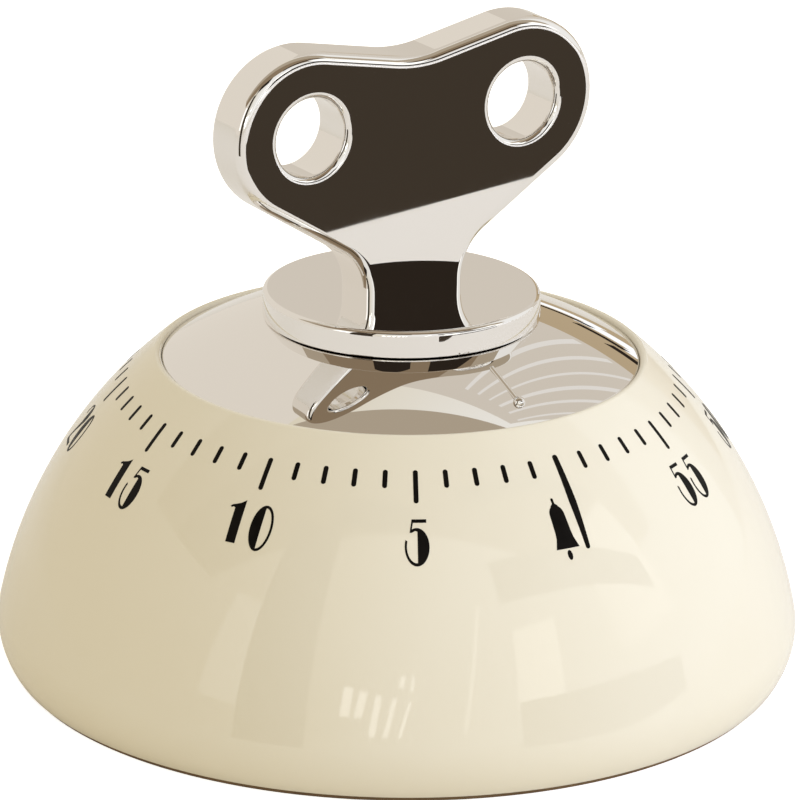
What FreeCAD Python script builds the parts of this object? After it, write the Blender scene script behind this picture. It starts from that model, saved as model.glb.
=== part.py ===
"""Wind-up kitchen timer: dome housing, key knob, clockwork movement and bell.

Millimetres, +Z up. The origin is at the centre of the base, on the surface that the timer
stands on. The zero mark of the scale and the pointer face -Y, and the key's two broad faces
look along -Y and +Y. One STEP file is written per sub-part, named after it.
"""
import FreeCAD, Part
import math
import os

Vector = FreeCAD.Vector
UP = Vector(0, 0, 1)

# ---------------------------------------------------------------- housing
FOOT_H = 0.6                    # the foot ring's height, the gap under the dome's edge
FOOT_OUTER_R = 40.3
FOOT_INNER_R = 34.8
DOME_ARC_R = 48.6               # the dome's long side curve and its centre
DOME_ARC_X = -5.7
DOME_ARC_Z = -3.7
DOME_FOOT_ARC_R = 7.0           # the short curve that turns in at the foot
DOME_TURN_DEG = 11.5            # where the side curve hands over to the foot curve
DOME_WALL = 2.2
OPENING_R = 24.9
LIP_ROUND = 0.5
BASE_R = 37.4
BASE_T = 2.0
BASE_TOP = FOOT_H + BASE_T
BASE_SCREW_R = 31.5             # radius of the circle of base screws
BASE_SCREWS = 4
BASE_BOSS_R = 3.0
BASE_BOSS_TOP = 15.0
SCREW_CORE_R = 1.1              # self-tapping screws: core, shank and head
SCREW_HEAD_R = 2.5
SCREW_HEAD_H = 1.1
SLOT_COUNT = 12                 # sound slots in the base
SLOT_W = 2.2

# ---------------------------------------------------------------- knob: plate, collar, key
PLATE_R = 24.75
PLATE_CROWN_R = 50.0            # radius of the plate's crown
PLATE_EDGE = 0.3                # rounding of the plate's rim
PLATE_T = 1.2
PLATE_SKIRT_Z = 31.6
PLATE_LAND_R = 13.8             # the flat land that the collar sits on
PLATE_BOSS_R = 4.6
PLATE_BOSS_Z = 31.4
POINTER_IN_R = 17.0
POINTER_BEAD_R = 22.0
POINTER_W = 0.55
POINTER_BEAD_D = 1.25
COLLAR_R = 14.45
COLLAR_BOTTOM = 37.8
COLLAR_TOP = 40.55
COLLAR_ROUND = 0.55
KEY_T = 5.8
KEY_EDGE = 1.1                  # rounding of the key's edges
KEY_LOBE_R = 8.85
KEY_LOBE_X = 12.87
KEY_LOBE_Z = 59.5
KEY_FLARE_DEG = 32.6            # slope of the key's underside, down towards its neck
KEY_TOP_DEG = 11.3              # slope of the key's top, down towards its middle
KEY_VALLEY_R = 14.1
KEY_NECK_HALF = 5.95
KEY_NECK_BLEND_R = 5.8
KEY_HOLE_R = 4.1
KEY_HOLE_EDGE = 0.8
TANG_HALF = 4.4
TANG_T = 4.2
TANG_BOTTOM = 38.2
KNOB_SCREW_X = 7.0
KNOB_SCREW_TIP_Z = 39.8

# ---------------------------------------------------------------- movement plates
LOWER_Z = 11.0
UPPER_Z = 24.0
PLATE_GAUGE = 1.0
MOVEMENT_R = 27.5
LUG_R = 28.0                    # radius of the circle of the three screws into the dome
LUG_HALF = 2.2
LUG_ANGLES = (30, 150, 270)
PILLAR_R = 25.0
PILLAR_ANGLES = (15, 112, 170, 322)
PILLAR_HALF = 1.7
NUT_FLATS = 4.0
PIVOT_R = 0.5
PIVOT_GAP = 0.05                # running clearance of a pivot in its hole
STAFF_R = 0.8

# ---------------------------------------------------------------- going train
COARSE = 0.5                    # module of the main wheel and its two pinions
FINE = 0.4                      # module of the other wheels
BACKLASH = 0.2                  # taken off each tooth's width at the pitch circle, in modules
ADDENDUM = 0.72                 # height of a tooth above its shifted pitch circle, in modules
DEDENDUM = 1.2
COARSE_SHIFT = 0.4              # profile shift of the pinions, taken off their wheels
FINE_SHIFT = 0.5
MAIN_TEETH = 60
SECOND_PINION = 10
SECOND_TEETH = 48
THIRD_PINION = 8
THIRD_TEETH = 48
ESCAPE_PINION = 8
ESCAPE_TEETH = 30
STRIKE_PINION = 12
STRIKE_TEETH = 10
MAIN_Z = 20.0
SECOND_Z = 18.0
THIRD_Z = 22.5
ESCAPE_Z = 14.5
STRIKE_Z = 14.0
WHEEL_T = 1.0
THIN_WHEEL_T = 0.8
PINION_LEN = 2.0
THIRD_RADIUS = 19.0             # distance of the third, escape and pallet arbors from the axis
SECOND_DEG = 200.0
STRIKE_DEG = 62.0
ESCAPE_R = 4.0
PALLET_DISTANCE = 5.6
PALLET_PIN_R = 0.22
PALLET_PIN_GAP = 0.12
PALLET_PIN_SPREAD_DEG = 36.0
RATCHET_TEETH = 16
RATCHET_R = 6.0
RATCHET_Z = 21.25
CAM_Z = 26.0
CAM_R = 8.0
ARBOR_R = 2.5
ARBOR_SQUARE = 3.2

# ---------------------------------------------------------------- mainspring, bell and hammer
SPRING_IN_R = 4.4
SPRING_OUT_R = 12.6
SPRING_TURNS = 9
SPRING_T = 0.35
SPRING_Z = 12.6
SPRING_H = 4.6
BELL_R = 19.0
BELL_H = 5.6
BELL_T = 0.8
BELL_TOP = 9.4
HAMMER_DISTANCE = 24.4
HAMMER_DEG = 96.0
HAMMER_HEAD_DEG = 58.0
HAMMER_HEAD_R = 1.9
HAMMER_NECK_R = 0.9
HAMMER_ARM_Z = 5.4
HAMMER_GAP = 1.3                # between the resting hammer head and the bell


# ================================================================ shared helpers
def polar(radius, degrees, z=0.0):
    """Point at a radius and an angle from +X, at height z."""
    angle = math.radians(degrees)
    return Vector(radius * math.cos(angle), radius * math.sin(angle), z)


def tube(x, y, z, height, radius, bore=0.0):
    """Upright cylinder, hollow if a bore radius is given."""
    body = Part.makeCylinder(radius, height, Vector(x, y, z))
    if bore:
        body = body.cut(Part.makeCylinder(bore, height + 2, Vector(x, y, z - 1)))
    return body


def around(radius, angle):
    """Offset in the XZ plane at an angle in radians from +X."""
    return Vector(radius * math.cos(angle), 0, radius * math.sin(angle))


def disc_at(point, height, radius, bore=0.0):
    """Upright cylinder whose foot is centred on a point."""
    return tube(point.x, point.y, point.z, height, radius, bore)


def fuse_all(shapes):
    """One clean solid from several that touch."""
    return shapes[0].multiFuse(shapes[1:]).removeSplitter()


def spin(edges):
    """Solid of revolution about Z from a closed outline in the XZ plane."""
    face = Part.Face(Part.Wire(Part.__sortEdges__(edges)))
    return face.revolve(Vector(0, 0, 0), UP, 360)


def polygon(points):
    """Closed wire through a list of points."""
    return Part.makePolygon(points + [points[0]])


def prism(points, z, height):
    """Upright prism on a closed outline of (x, y) pairs."""
    outline = [Vector(x, y, z) for x, y in points]
    return Part.Face(polygon(outline)).extrude(Vector(0, 0, height))


def bar(start, end, width, z, height):
    """Upright bar with round ends from one (x, y) point to another."""
    along = (end - start).normalize()
    side = Vector(-along.y, along.x, 0) * (width / 2)
    corners = [start + side, start - side, end - side, end + side]
    flat = Part.Face(polygon([Vector(p.x, p.y, z) for p in corners]))
    ends = [tube(p.x, p.y, z, height, width / 2) for p in (start, end)]
    return fuse_all([flat.extrude(Vector(0, 0, height))] + ends)


def ring_of(shape, angles):
    """Copies of a shape turned about Z."""
    return [shape.copy().rotate(Vector(0, 0, 0), UP, angle) for angle in angles]


def even_angles(count, first=0.0):
    """Evenly spaced angles round a circle."""
    return [first + 360.0 * step / count for step in range(count)]


def round_edges(shape, radius, wanted):
    """Fillet of the edges that a test picks by their centre and bounding box."""
    return shape.makeFillet(radius, [edge for edge in shape.Edges if wanted(edge)])


def circle_edge(z, radius, tolerance=0.02):
    """Test for a full circle about the Z axis at one height and radius."""
    def test(edge):
        curve = edge.Curve
        if not isinstance(curve, Part.Circle):
            return False
        off_axis = math.hypot(curve.Center.x, curve.Center.y)
        return max(abs(curve.Radius - radius), abs(curve.Center.z - z), off_axis) < tolerance
    return test


# ================================================================ dome and base
def dome_curve(inset):
    """Centres, radii and joints of the dome's two curves, moved inwards by inset."""
    turn = math.radians(DOME_TURN_DEG)
    side_centre = Vector(DOME_ARC_X, 0, DOME_ARC_Z)
    foot_centre = side_centre + around(DOME_ARC_R - DOME_FOOT_ARC_R, turn)
    side_r = DOME_ARC_R - inset
    foot_r = DOME_FOOT_ARC_R - inset
    foot_angle = math.asin((FOOT_H - foot_centre.z) / foot_r)
    turn_point = side_centre + around(side_r, turn)
    foot_mid = foot_centre + around(foot_r, (turn + foot_angle) / 2)
    foot_point = foot_centre + around(foot_r, foot_angle)
    return side_centre, side_r, turn_point, foot_mid, foot_point


def side_arc(inset, top, turn_point):
    """The dome's side curve between a point near its opening and its turn at the foot."""
    centre, radius = dome_curve(inset)[:2]
    top_angle = math.atan2(top.z - centre.z, top.x - centre.x)
    middle = centre + around(radius, (top_angle + math.radians(DOME_TURN_DEG)) / 2)
    return Part.Arc(top, middle, turn_point).toShape()


def dome_solid(inset):
    """The dome as a full body, its surface moved inwards by inset."""
    centre, radius, turn_point, foot_mid, foot_point = dome_curve(inset)
    apex = centre + around(radius, math.acos(-DOME_ARC_X / radius))
    centre_foot = Vector(0, 0, FOOT_H)
    return spin([side_arc(inset, apex, turn_point), Part.Arc(turn_point, foot_mid, foot_point).toShape(),
                 Part.LineSegment(foot_point, centre_foot).toShape(),
                 Part.LineSegment(centre_foot, apex).toShape()])


def dome_wall():
    """The dome's wall with its opening at the top and a rounded lip."""
    centre, radius, turn_out, mid_out, foot_out = dome_curve(0)
    inner_radius, turn_in, mid_in, foot_in = dome_curve(DOME_WALL)[1:]
    lip_x = OPENING_R + LIP_ROUND
    lip_centre = Vector(lip_x, 0, centre.z + math.sqrt((radius - LIP_ROUND) ** 2 - (lip_x - centre.x) ** 2))
    lip_angle = math.atan2(lip_centre.z - centre.z, lip_centre.x - centre.x)
    lip_out = centre + around(radius, lip_angle)
    lip_mid = lip_centre + around(LIP_ROUND, (lip_angle + math.pi) / 2)
    lip_in = Vector(OPENING_R, 0, lip_centre.z)
    inner_z = centre.z + math.sqrt(inner_radius ** 2 - (OPENING_R - centre.x) ** 2)
    inner_top = Vector(OPENING_R, 0, inner_z)
    return spin([Part.Arc(lip_in, lip_mid, lip_out).toShape(), side_arc(0, lip_out, turn_out),
                 Part.Arc(turn_out, mid_out, foot_out).toShape(),
                 Part.LineSegment(foot_out, foot_in).toShape(),
                 Part.Arc(foot_in, mid_in, turn_in).toShape(), side_arc(DOME_WALL, inner_top, turn_in),
                 Part.LineSegment(inner_top, lip_in).toShape()])


def dome_shell():
    """Dome wall with its opening, screw bosses for the base and bosses for the movement."""
    shell = dome_wall()
    within = dome_solid(DOME_WALL / 2)
    base_boss = tube(BASE_SCREW_R, 0, BASE_TOP, BASE_BOSS_TOP - BASE_TOP, BASE_BOSS_R)
    rib = Part.makeBox(10, 1.8, BASE_BOSS_TOP - BASE_TOP, Vector(BASE_SCREW_R, -0.9, BASE_TOP))
    base_boss = fuse_all([base_boss, rib]).common(within)
    base_boss = base_boss.cut(tube(BASE_SCREW_R, 0, BASE_TOP - 1, 10, SCREW_CORE_R))
    top_boss = tube(LUG_R, 0, UPPER_Z + PLATE_GAUGE, 9, LUG_HALF).common(within)
    top_boss = top_boss.cut(tube(0, 0, PLATE_SKIRT_Z - 1, 30, OPENING_R))
    top_hole = tube(LUG_R, 0, UPPER_Z, 4.4, SCREW_CORE_R)
    bosses = ring_of(base_boss, even_angles(BASE_SCREWS, 45)) + ring_of(top_boss, LUG_ANGLES)
    return fuse_all([shell] + bosses).cut(Part.makeCompound(ring_of(top_hole, LUG_ANGLES)))


def base_cover():
    """Round base with screw recesses, a groove for the foot ring and sound slots."""
    cover = tube(0, 0, FOOT_H, BASE_T, BASE_R)
    cover = cover.fuse(tube(0, 0, BASE_TOP, 1.4, 4.5, 2.0))
    cover = cover.cut(foot_bead(0.05))
    slot = bar(Vector(10.5, 0, 0), Vector(21.5, 0, 0), SLOT_W, FOOT_H - 1, BASE_T + 2)
    hole = tube(BASE_SCREW_R, 0, FOOT_H - 1, BASE_T + 2, 1.6)
    seat = tube(BASE_SCREW_R, 0, FOOT_H - 1, 1 + SCREW_HEAD_H + 0.05, SCREW_HEAD_R + 0.25)
    cuts = ring_of(slot, even_angles(SLOT_COUNT, 15))
    cuts += ring_of(hole.fuse(seat), even_angles(BASE_SCREWS, 45))
    return cover.cut(Part.makeCompound(cuts)).removeSplitter()


def foot_bead(gap):
    """Ring-shaped bead that locates the foot ring in the base."""
    return tube(0, 0, FOOT_H - 0.01, 0.81 + gap, 36.4 + gap, 35.4 - gap)


def foot_ring():
    """Soft ring that the timer stands on."""
    ring = tube(0, 0, 0, FOOT_H, FOOT_OUTER_R, FOOT_INNER_R)
    return fuse_all([ring, foot_bead(0)])


def cross_recess(point, radius, depth, upwards):
    """Cross-shaped driver recess to cut into a screw head."""
    z = point.z if upwards else point.z - depth
    arms = [Part.makeBox(2 * radius, 0.6, depth, Vector(point.x - radius, point.y - 0.3, z)),
            Part.makeBox(0.6, 2 * radius, depth, Vector(point.x - 0.3, point.y - radius, z))]
    return arms[0].fuse(arms[1])


def tapping_screw(x, y, head_z, length):
    """Pan-head self-tapping screw pointing up, its head's underside at head_z."""
    shank = tube(x, y, head_z, length, SCREW_CORE_R)
    head = tube(x, y, head_z - SCREW_HEAD_H, SCREW_HEAD_H, SCREW_HEAD_R)
    head = round_edges(head, 0.5, lambda edge: edge.BoundBox.ZMax < head_z - SCREW_HEAD_H + 0.01)
    screw = fuse_all([shank, head])
    return screw.cut(cross_recess(Vector(x, y, head_z - SCREW_HEAD_H), 1.4, 0.6, True))


def base_screws():
    """Four screws that hold the base in the dome."""
    screws = []
    for angle in even_angles(BASE_SCREWS, 45):
        place = polar(BASE_SCREW_R, angle)
        screws.append(tapping_screw(place.x, place.y, FOOT_H + SCREW_HEAD_H + 0.05, 8.0))
    return Part.makeCompound(screws)


# ================================================================ knob
def crown_z(radius):
    """Height of the dial plate's top at a radius."""
    centre_z = COLLAR_BOTTOM - math.sqrt(PLATE_CROWN_R ** 2 - PLATE_LAND_R ** 2)
    return centre_z + math.sqrt(PLATE_CROWN_R ** 2 - radius ** 2)


def dial_plate():
    """Crowned plate with a skirt, a raised pointer that ends in a bead, and a hub below."""
    land_z = COLLAR_BOTTOM
    middle = (PLATE_LAND_R + PLATE_R) / 2
    rim_z = crown_z(PLATE_R)
    edge = Vector(PLATE_R, 0, rim_z)
    land = Vector(PLATE_LAND_R, 0, land_z)
    inner_r = PLATE_R - PLATE_T
    under_edge = Vector(inner_r, 0, crown_z(inner_r) - PLATE_T)
    under_land = Vector(PLATE_LAND_R, 0, land_z - PLATE_T)
    line = [Part.Arc(edge, Vector(middle, 0, crown_z(middle)), land).toShape(),
            Part.Arc(under_edge, Vector(middle, 0, crown_z(middle) - PLATE_T), under_land).toShape()]
    bore_r = ARBOR_R + PIVOT_GAP
    corners = [land, Vector(bore_r, 0, land_z), Vector(bore_r, 0, PLATE_BOSS_Z),
               Vector(PLATE_BOSS_R, 0, PLATE_BOSS_Z), Vector(PLATE_BOSS_R, 0, land_z - PLATE_T), under_land]
    skirt = [under_edge, Vector(inner_r, 0, PLATE_SKIRT_Z), Vector(PLATE_R, 0, PLATE_SKIRT_Z), edge]
    for path in (corners, skirt):
        line += [Part.LineSegment(a, b).toShape() for a, b in zip(path, path[1:])]
    plate = spin(line)
    plate = round_edges(plate, PLATE_EDGE, circle_edge(rim_z, PLATE_R))
    holes = [tube(sign * KNOB_SCREW_X, 0, land_z - 3, 6, 1.3) for sign in (-1, 1)]
    return fuse_all([plate, pointer()]).cut(Part.makeCompound(holes))


def pointer():
    """Raised line along the plate's crown towards -Y, with a bead at its outer end."""
    inner = Vector(0, -POINTER_IN_R, crown_z(POINTER_IN_R))
    outer = Vector(0, -POINTER_BEAD_R, crown_z(POINTER_BEAD_R))
    ridge = Part.makeCylinder(POINTER_W / 2, (outer - inner).Length, inner, outer - inner)
    inner_end = Part.makeSphere(POINTER_W / 2, inner)
    bead = Part.makeSphere(POINTER_BEAD_D / 2, outer)
    return fuse_all([ridge, inner_end, bead])


def collar_disc():
    """Thick disc under the key, seated on the dial plate's land."""
    disc = tube(0, 0, COLLAR_BOTTOM, COLLAR_TOP - COLLAR_BOTTOM, COLLAR_R)
    disc = round_edges(disc, COLLAR_ROUND, lambda edge: isinstance(edge.Curve, Part.Circle))
    slot = Part.makeBox(2 * TANG_HALF, TANG_T, 10, Vector(-TANG_HALF, -TANG_T / 2, TANG_BOTTOM))
    bore = tube(0, 0, COLLAR_BOTTOM - 1, 10, ARBOR_R + PIVOT_GAP)
    hole_z = COLLAR_BOTTOM - 1
    hole_h = KNOB_SCREW_TIP_Z + 0.2 - hole_z
    screw_holes = [tube(sign * KNOB_SCREW_X, 0, hole_z, hole_h, SCREW_CORE_R) for sign in (-1, 1)]
    return disc.cut(Part.makeCompound([slot, bore] + screw_holes))


def key_outline():
    """The key's outer outline in the XZ plane, from its neck up one lobe and across."""
    lobe = Vector(KEY_LOBE_X, 0, KEY_LOBE_Z)
    flare = math.radians(KEY_FLARE_DEG)
    top = math.radians(KEY_TOP_DEG)

    def on_lobe(angle):
        return lobe + Vector(math.cos(angle), 0, math.sin(angle)) * KEY_LOBE_R

    lower_angle = flare - math.pi / 2
    upper_angle = math.pi / 2 + top
    lower = on_lobe(lower_angle)
    upper = on_lobe(upper_angle)
    inward = Vector(-math.cos(flare), 0, -math.sin(flare))
    corner = lower + inward * ((lower.x - KEY_NECK_HALF) / math.cos(flare))
    reach = KEY_NECK_BLEND_R * math.tan((math.pi / 2 - flare) / 2)
    blend_in = corner - inward * reach
    blend_out = corner - Vector(0, 0, reach)
    centre = Vector(KEY_NECK_HALF + KEY_NECK_BLEND_R, 0, blend_out.z)
    middle_angle = math.pi - (math.pi / 2 - flare) / 2
    blend_mid = centre + Vector(math.cos(middle_angle), 0, math.sin(middle_angle)) * KEY_NECK_BLEND_R
    valley_x = KEY_VALLEY_R * math.sin(top)
    valley_z = upper.z - (upper.x - valley_x) * math.tan(top)
    valley_in = Vector(valley_x, 0, valley_z)
    valley_low = Vector(0, 0, valley_z - KEY_VALLEY_R * (1 - math.cos(top)))
    foot = Vector(KEY_NECK_HALF, 0, COLLAR_TOP)
    half = [Part.LineSegment(foot, blend_out).toShape(), Part.Arc(blend_out, blend_mid, blend_in).toShape(),
            Part.LineSegment(blend_in, lower).toShape(), Part.Arc(lower, on_lobe(0.5), upper).toShape(),
            Part.LineSegment(upper, valley_in).toShape()]
    mirrored = [edge.mirror(Vector(0, 0, 0), Vector(1, 0, 0)) for edge in half]
    across = [Part.Arc(valley_in, valley_low, Vector(-valley_in.x, 0, valley_in.z)).toShape(),
              Part.LineSegment(Vector(-foot.x, 0, foot.z), foot).toShape()]
    return Part.Wire(Part.__sortEdges__(half + mirrored + across))


def key():
    """Flat key with two finger holes, rounded edges, and a tang that goes through the collar."""
    outline = key_outline()
    outline.translate(Vector(0, -KEY_T / 2, 0))
    blade = Part.Face(outline).extrude(Vector(0, KEY_T, 0))
    blade = round_edges(blade, KEY_EDGE, lambda edge: (
        abs(abs(edge.BoundBox.YMin) - KEY_T / 2) < 0.01 and edge.BoundBox.YLength < 0.01
        and edge.BoundBox.ZMax > COLLAR_TOP + 0.1))
    for sign in (-1, 1):
        hole_start = Vector(sign * KEY_LOBE_X, -KEY_T, KEY_LOBE_Z)
        hole = Part.makeCylinder(KEY_HOLE_R, 2 * KEY_T, hole_start, Vector(0, 1, 0))
        blade = blade.cut(hole)
    blade = round_edges(blade, KEY_HOLE_EDGE, lambda edge: (
        isinstance(edge.Curve, Part.Circle) and abs(edge.Curve.Radius - KEY_HOLE_R) < 0.01))
    tang_height = COLLAR_TOP - TANG_BOTTOM + 1
    tang = Part.makeBox(2 * TANG_HALF, TANG_T, tang_height, Vector(-TANG_HALF, -TANG_T / 2, TANG_BOTTOM))
    half = ARBOR_SQUARE / 2
    socket = Part.makeBox(ARBOR_SQUARE, ARBOR_SQUARE, 12, Vector(-half, -half, TANG_BOTTOM - 1))
    return fuse_all([blade, tang]).cut(socket)


def knob_screws():
    """Two screws from under the dial plate into the collar."""
    head_z = COLLAR_BOTTOM - PLATE_T
    screws = []
    for sign in (-1, 1):
        shank = tube(sign * KNOB_SCREW_X, 0, head_z, KNOB_SCREW_TIP_Z - head_z, SCREW_CORE_R)
        head = tube(sign * KNOB_SCREW_X, 0, head_z - SCREW_HEAD_H, SCREW_HEAD_H, 2.0)
        screw = fuse_all([shank, head])
        top = Vector(sign * KNOB_SCREW_X, 0, head_z - SCREW_HEAD_H)
        screws.append(screw.cut(cross_recess(top, 1.2, 0.5, True)))
    return Part.makeCompound(screws)


def main_arbor():
    """Stepped arbor from the lower plate's pivot up to the square in the key."""
    pivot = tube(0, 0, LOWER_Z - 0.5, PLATE_GAUGE + 1.0, 1.5)
    spring_hub = tube(0, 0, LOWER_Z + PLATE_GAUGE + 0.1, MAIN_Z - LOWER_Z - PLATE_GAUGE - 0.1, 3.6)
    stem = tube(0, 0, MAIN_Z - 0.5, TANG_BOTTOM - MAIN_Z + 0.5, ARBOR_R)
    half = ARBOR_SQUARE / 2
    square = Part.makeBox(ARBOR_SQUARE, ARBOR_SQUARE, 10.5, Vector(-half, -half, TANG_BOTTOM - 0.5))
    hook = Part.makeBox(0.7, 0.8, 2.4, Vector(3.3, -0.4, SPRING_Z + SPRING_H / 2 - 1.2))
    groove = tube(0, 0, UPPER_Z + PLATE_GAUGE + 0.15, 0.5, ARBOR_R + 1, ARBOR_R - 0.5)
    return fuse_all([pivot, spring_hub, stem, square, hook]).cut(groove)


def arbor_clip():
    """E-shaped retaining clip in the arbor's groove, above the upper plate."""
    z = UPPER_Z + PLATE_GAUGE + 0.15
    clip = tube(0, 0, z, 0.5, 4.2, ARBOR_R - 0.5)
    return clip.cut(Part.makeBox(3.4, 6, 2, Vector(-1.7, 0, z - 1)))


# ================================================================ movement frame
def arbor_places():
    """Where each arbor stands between the plates, as points at z = 0."""
    second_distance = COARSE * (MAIN_TEETH + SECOND_PINION) / 2
    fine_distance = FINE * (SECOND_TEETH + THIRD_PINION) / 2
    bend = math.degrees(math.acos((second_distance ** 2 + THIRD_RADIUS ** 2 - fine_distance ** 2)
                                  / (2 * second_distance * THIRD_RADIUS)))
    step = 2 * math.degrees(math.asin(fine_distance / (2 * THIRD_RADIUS)))
    pallet_step = 2 * math.degrees(math.asin(PALLET_DISTANCE / (2 * THIRD_RADIUS)))
    third_deg = SECOND_DEG + bend
    return {"main": Vector(0, 0, 0),
            "second": polar(second_distance, SECOND_DEG),
            "third": polar(THIRD_RADIUS, third_deg),
            "escape": polar(THIRD_RADIUS, third_deg + step),
            "pallet": polar(THIRD_RADIUS, third_deg + step + pallet_step),
            "strike": polar(COARSE * (MAIN_TEETH + STRIKE_PINION) / 2, STRIKE_DEG),
            "hammer": polar(HAMMER_DISTANCE, HAMMER_DEG)}


def bearing_angle(start, end):
    """Direction in degrees from one arbor to another."""
    return math.degrees(math.atan2(end.y - start.y, end.x - start.x))


def movement_plate(z, with_lugs):
    """Round plate with pivot holes, pillar holes and, on the upper one, screw lugs."""
    plate = tube(0, 0, z, PLATE_GAUGE, MOVEMENT_R)
    holes = []
    if with_lugs:
        lug = bar(Vector(LUG_R - 6, 0, 0), Vector(LUG_R, 0, 0), 2 * LUG_HALF, z, PLATE_GAUGE)
        plate = fuse_all([plate] + ring_of(lug, LUG_ANGLES))
        holes += ring_of(tube(LUG_R, 0, z - 1, 3, 1.35), LUG_ANGLES)
    for name, place in arbor_places().items():
        radius = PIVOT_R + PIVOT_GAP
        if name == "main":
            radius = (ARBOR_R if with_lugs else 1.5) + PIVOT_GAP
        if name == "hammer" and not with_lugs:
            radius = STAFF_R + PIVOT_GAP
        holes.append(tube(place.x, place.y, z - 1, 3, radius))
    holes += ring_of(tube(PILLAR_R, 0, z - 1, 3, 1.0), PILLAR_ANGLES)
    windows = [tube(*polar(radius, angle), 3, size) for radius, angle, size in
               ((12.5, 20, 3.6), (12.5, 100, 3.6), (12.5, 320, 3.6), (11.0, 150, 3.4))]
    for window in windows:
        window.translate(Vector(0, 0, z - 1))
    return plate.cut(Part.makeCompound(holes + windows)).removeSplitter()


def plate_pillars():
    """Pillars that hold the plates apart, with a rivet end below and a threaded end above."""
    low = LOWER_Z + PLATE_GAUGE
    pillar = fuse_all([tube(PILLAR_R, 0, low, UPPER_Z - low, PILLAR_HALF),
                       tube(PILLAR_R, 0, LOWER_Z, PLATE_GAUGE + 0.1, 1.0),
                       tube(PILLAR_R, 0, LOWER_Z - 0.5, 0.5, 1.6),
                       tube(PILLAR_R, 0, UPPER_Z - 0.1, PLATE_GAUGE + 2.4, 1.0)])
    return Part.makeCompound(ring_of(pillar, PILLAR_ANGLES))


def pillar_nuts():
    """Hexagon nuts on the pillars' threaded ends."""
    corner = NUT_FLATS / 2 / math.cos(math.radians(30))
    points = [polar(corner, angle) for angle in even_angles(6)]
    nut = prism([(PILLAR_R + p.x, p.y) for p in points], UPPER_Z + PLATE_GAUGE, 1.6)
    nut = nut.cut(tube(PILLAR_R, 0, UPPER_Z, 6, 1.0))
    return Part.makeCompound(ring_of(nut, PILLAR_ANGLES))


def movement_screws():
    """Three screws from below through the upper plate's lugs into the dome's bosses."""
    screws = []
    for angle in LUG_ANGLES:
        place = polar(LUG_R, angle)
        screws.append(tapping_screw(place.x, place.y, UPPER_Z, 4.0))
    return Part.makeCompound(screws)


# ================================================================ wheels
def involute_point(base_r, roll):
    """Point of an involute from the +X axis after a roll angle in radians."""
    x = base_r * (math.cos(roll) + roll * math.sin(roll))
    y = base_r * (math.sin(roll) - roll * math.cos(roll))
    return math.hypot(x, y), math.atan2(y, x)


def gear_outline(teeth, module, shift, phase_deg):
    """Closed wire of an involute gear; a tooth is centred on the phase angle."""
    pressure = math.radians(20)
    pitch_r = module * teeth / 2
    base_r = pitch_r * math.cos(pressure)
    tip_r = pitch_r + module * (ADDENDUM + shift)
    root_r = pitch_r - module * (DEDENDUM - shift)
    width = module * (math.pi / 2 + 2 * shift * math.tan(pressure) - BACKLASH)
    half = width / (2 * pitch_r) + math.tan(pressure) - pressure
    low_r = max(base_r, root_r)
    radii = [low_r + (tip_r - low_r) * step / 4 for step in range(5)]
    rolls = [math.sqrt(max(radius ** 2 / base_r ** 2 - 1, 0)) for radius in radii]
    flank = [involute_point(base_r, roll) for roll in rolls]
    root_half = half - flank[0][1]
    pitch_angle = 2 * math.pi / teeth

    def at(radius, angle):
        return Vector(radius * math.cos(angle), radius * math.sin(angle), 0)

    def smooth(points):
        curve = Part.BSplineCurve()
        curve.interpolate(points)
        return curve.toShape()

    edges = []
    for tooth in range(teeth):
        centre = math.radians(phase_deg) + tooth * pitch_angle
        rise = [at(radius, centre - half + angle) for radius, angle in flank]
        fall = [at(radius, centre + half - angle) for radius, angle in reversed(flank)]
        root_out = at(root_r, centre + root_half)
        next_root = at(root_r, centre + pitch_angle - root_half)
        next_rise = at(low_r, centre + pitch_angle - root_half)
        edges += [smooth(rise), Part.Arc(rise[-1], at(tip_r, centre), fall[0]).toShape(), smooth(fall)]
        if low_r > root_r:
            edges.append(Part.LineSegment(fall[-1], root_out).toShape())
        edges.append(Part.Arc(root_out, at(root_r, centre + pitch_angle / 2), next_root).toShape())
        if low_r > root_r:
            edges.append(Part.LineSegment(next_root, next_rise).toShape())
    return Part.Wire(edges)


def gear(teeth, module, shift, phase_deg, place, z, height):
    """Gear standing at a place between two heights."""
    solid = Part.Face(gear_outline(teeth, module, shift, phase_deg)).extrude(Vector(0, 0, height))
    solid.translate(Vector(place.x, place.y, z))
    return solid


def meshed_phase(direction_deg, teeth, phase_deg, other_teeth):
    """Phase of a second gear so that its gap meets the first gear's tooth."""
    offset = (direction_deg - phase_deg) * teeth
    return direction_deg + 180 - (180 - offset) / other_teeth


def wheel(teeth, place, z):
    """Fine-toothed wheel with a ring of round windows and a bore for its arbor."""
    body = gear(teeth, FINE, -FINE_SHIFT, 0.0, place, z, THIN_WHEEL_T)
    rim = FINE * teeth / 2
    cuts = [tube(place.x, place.y, z - 1, THIN_WHEEL_T + 2, STAFF_R)]
    for angle in even_angles(5):
        spot = place + polar(rim * 0.56, angle)
        cuts.append(tube(spot.x, spot.y, z - 1, THIN_WHEEL_T + 2, rim * 0.24))
    return body.cut(Part.makeCompound(cuts))


def staff(place):
    """Steel arbor with thin pivots that run in the two plates."""
    low_z = LOWER_Z + PLATE_GAUGE + 0.1
    high_z = UPPER_Z - 0.1
    pivot_low = LOWER_Z - 0.4
    pivot_high = UPPER_Z + PLATE_GAUGE + 0.4
    pivots = tube(place.x, place.y, pivot_low, pivot_high - pivot_low, PIVOT_R)
    return fuse_all([tube(place.x, place.y, low_z, high_z - low_z, STAFF_R), pivots])


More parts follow.
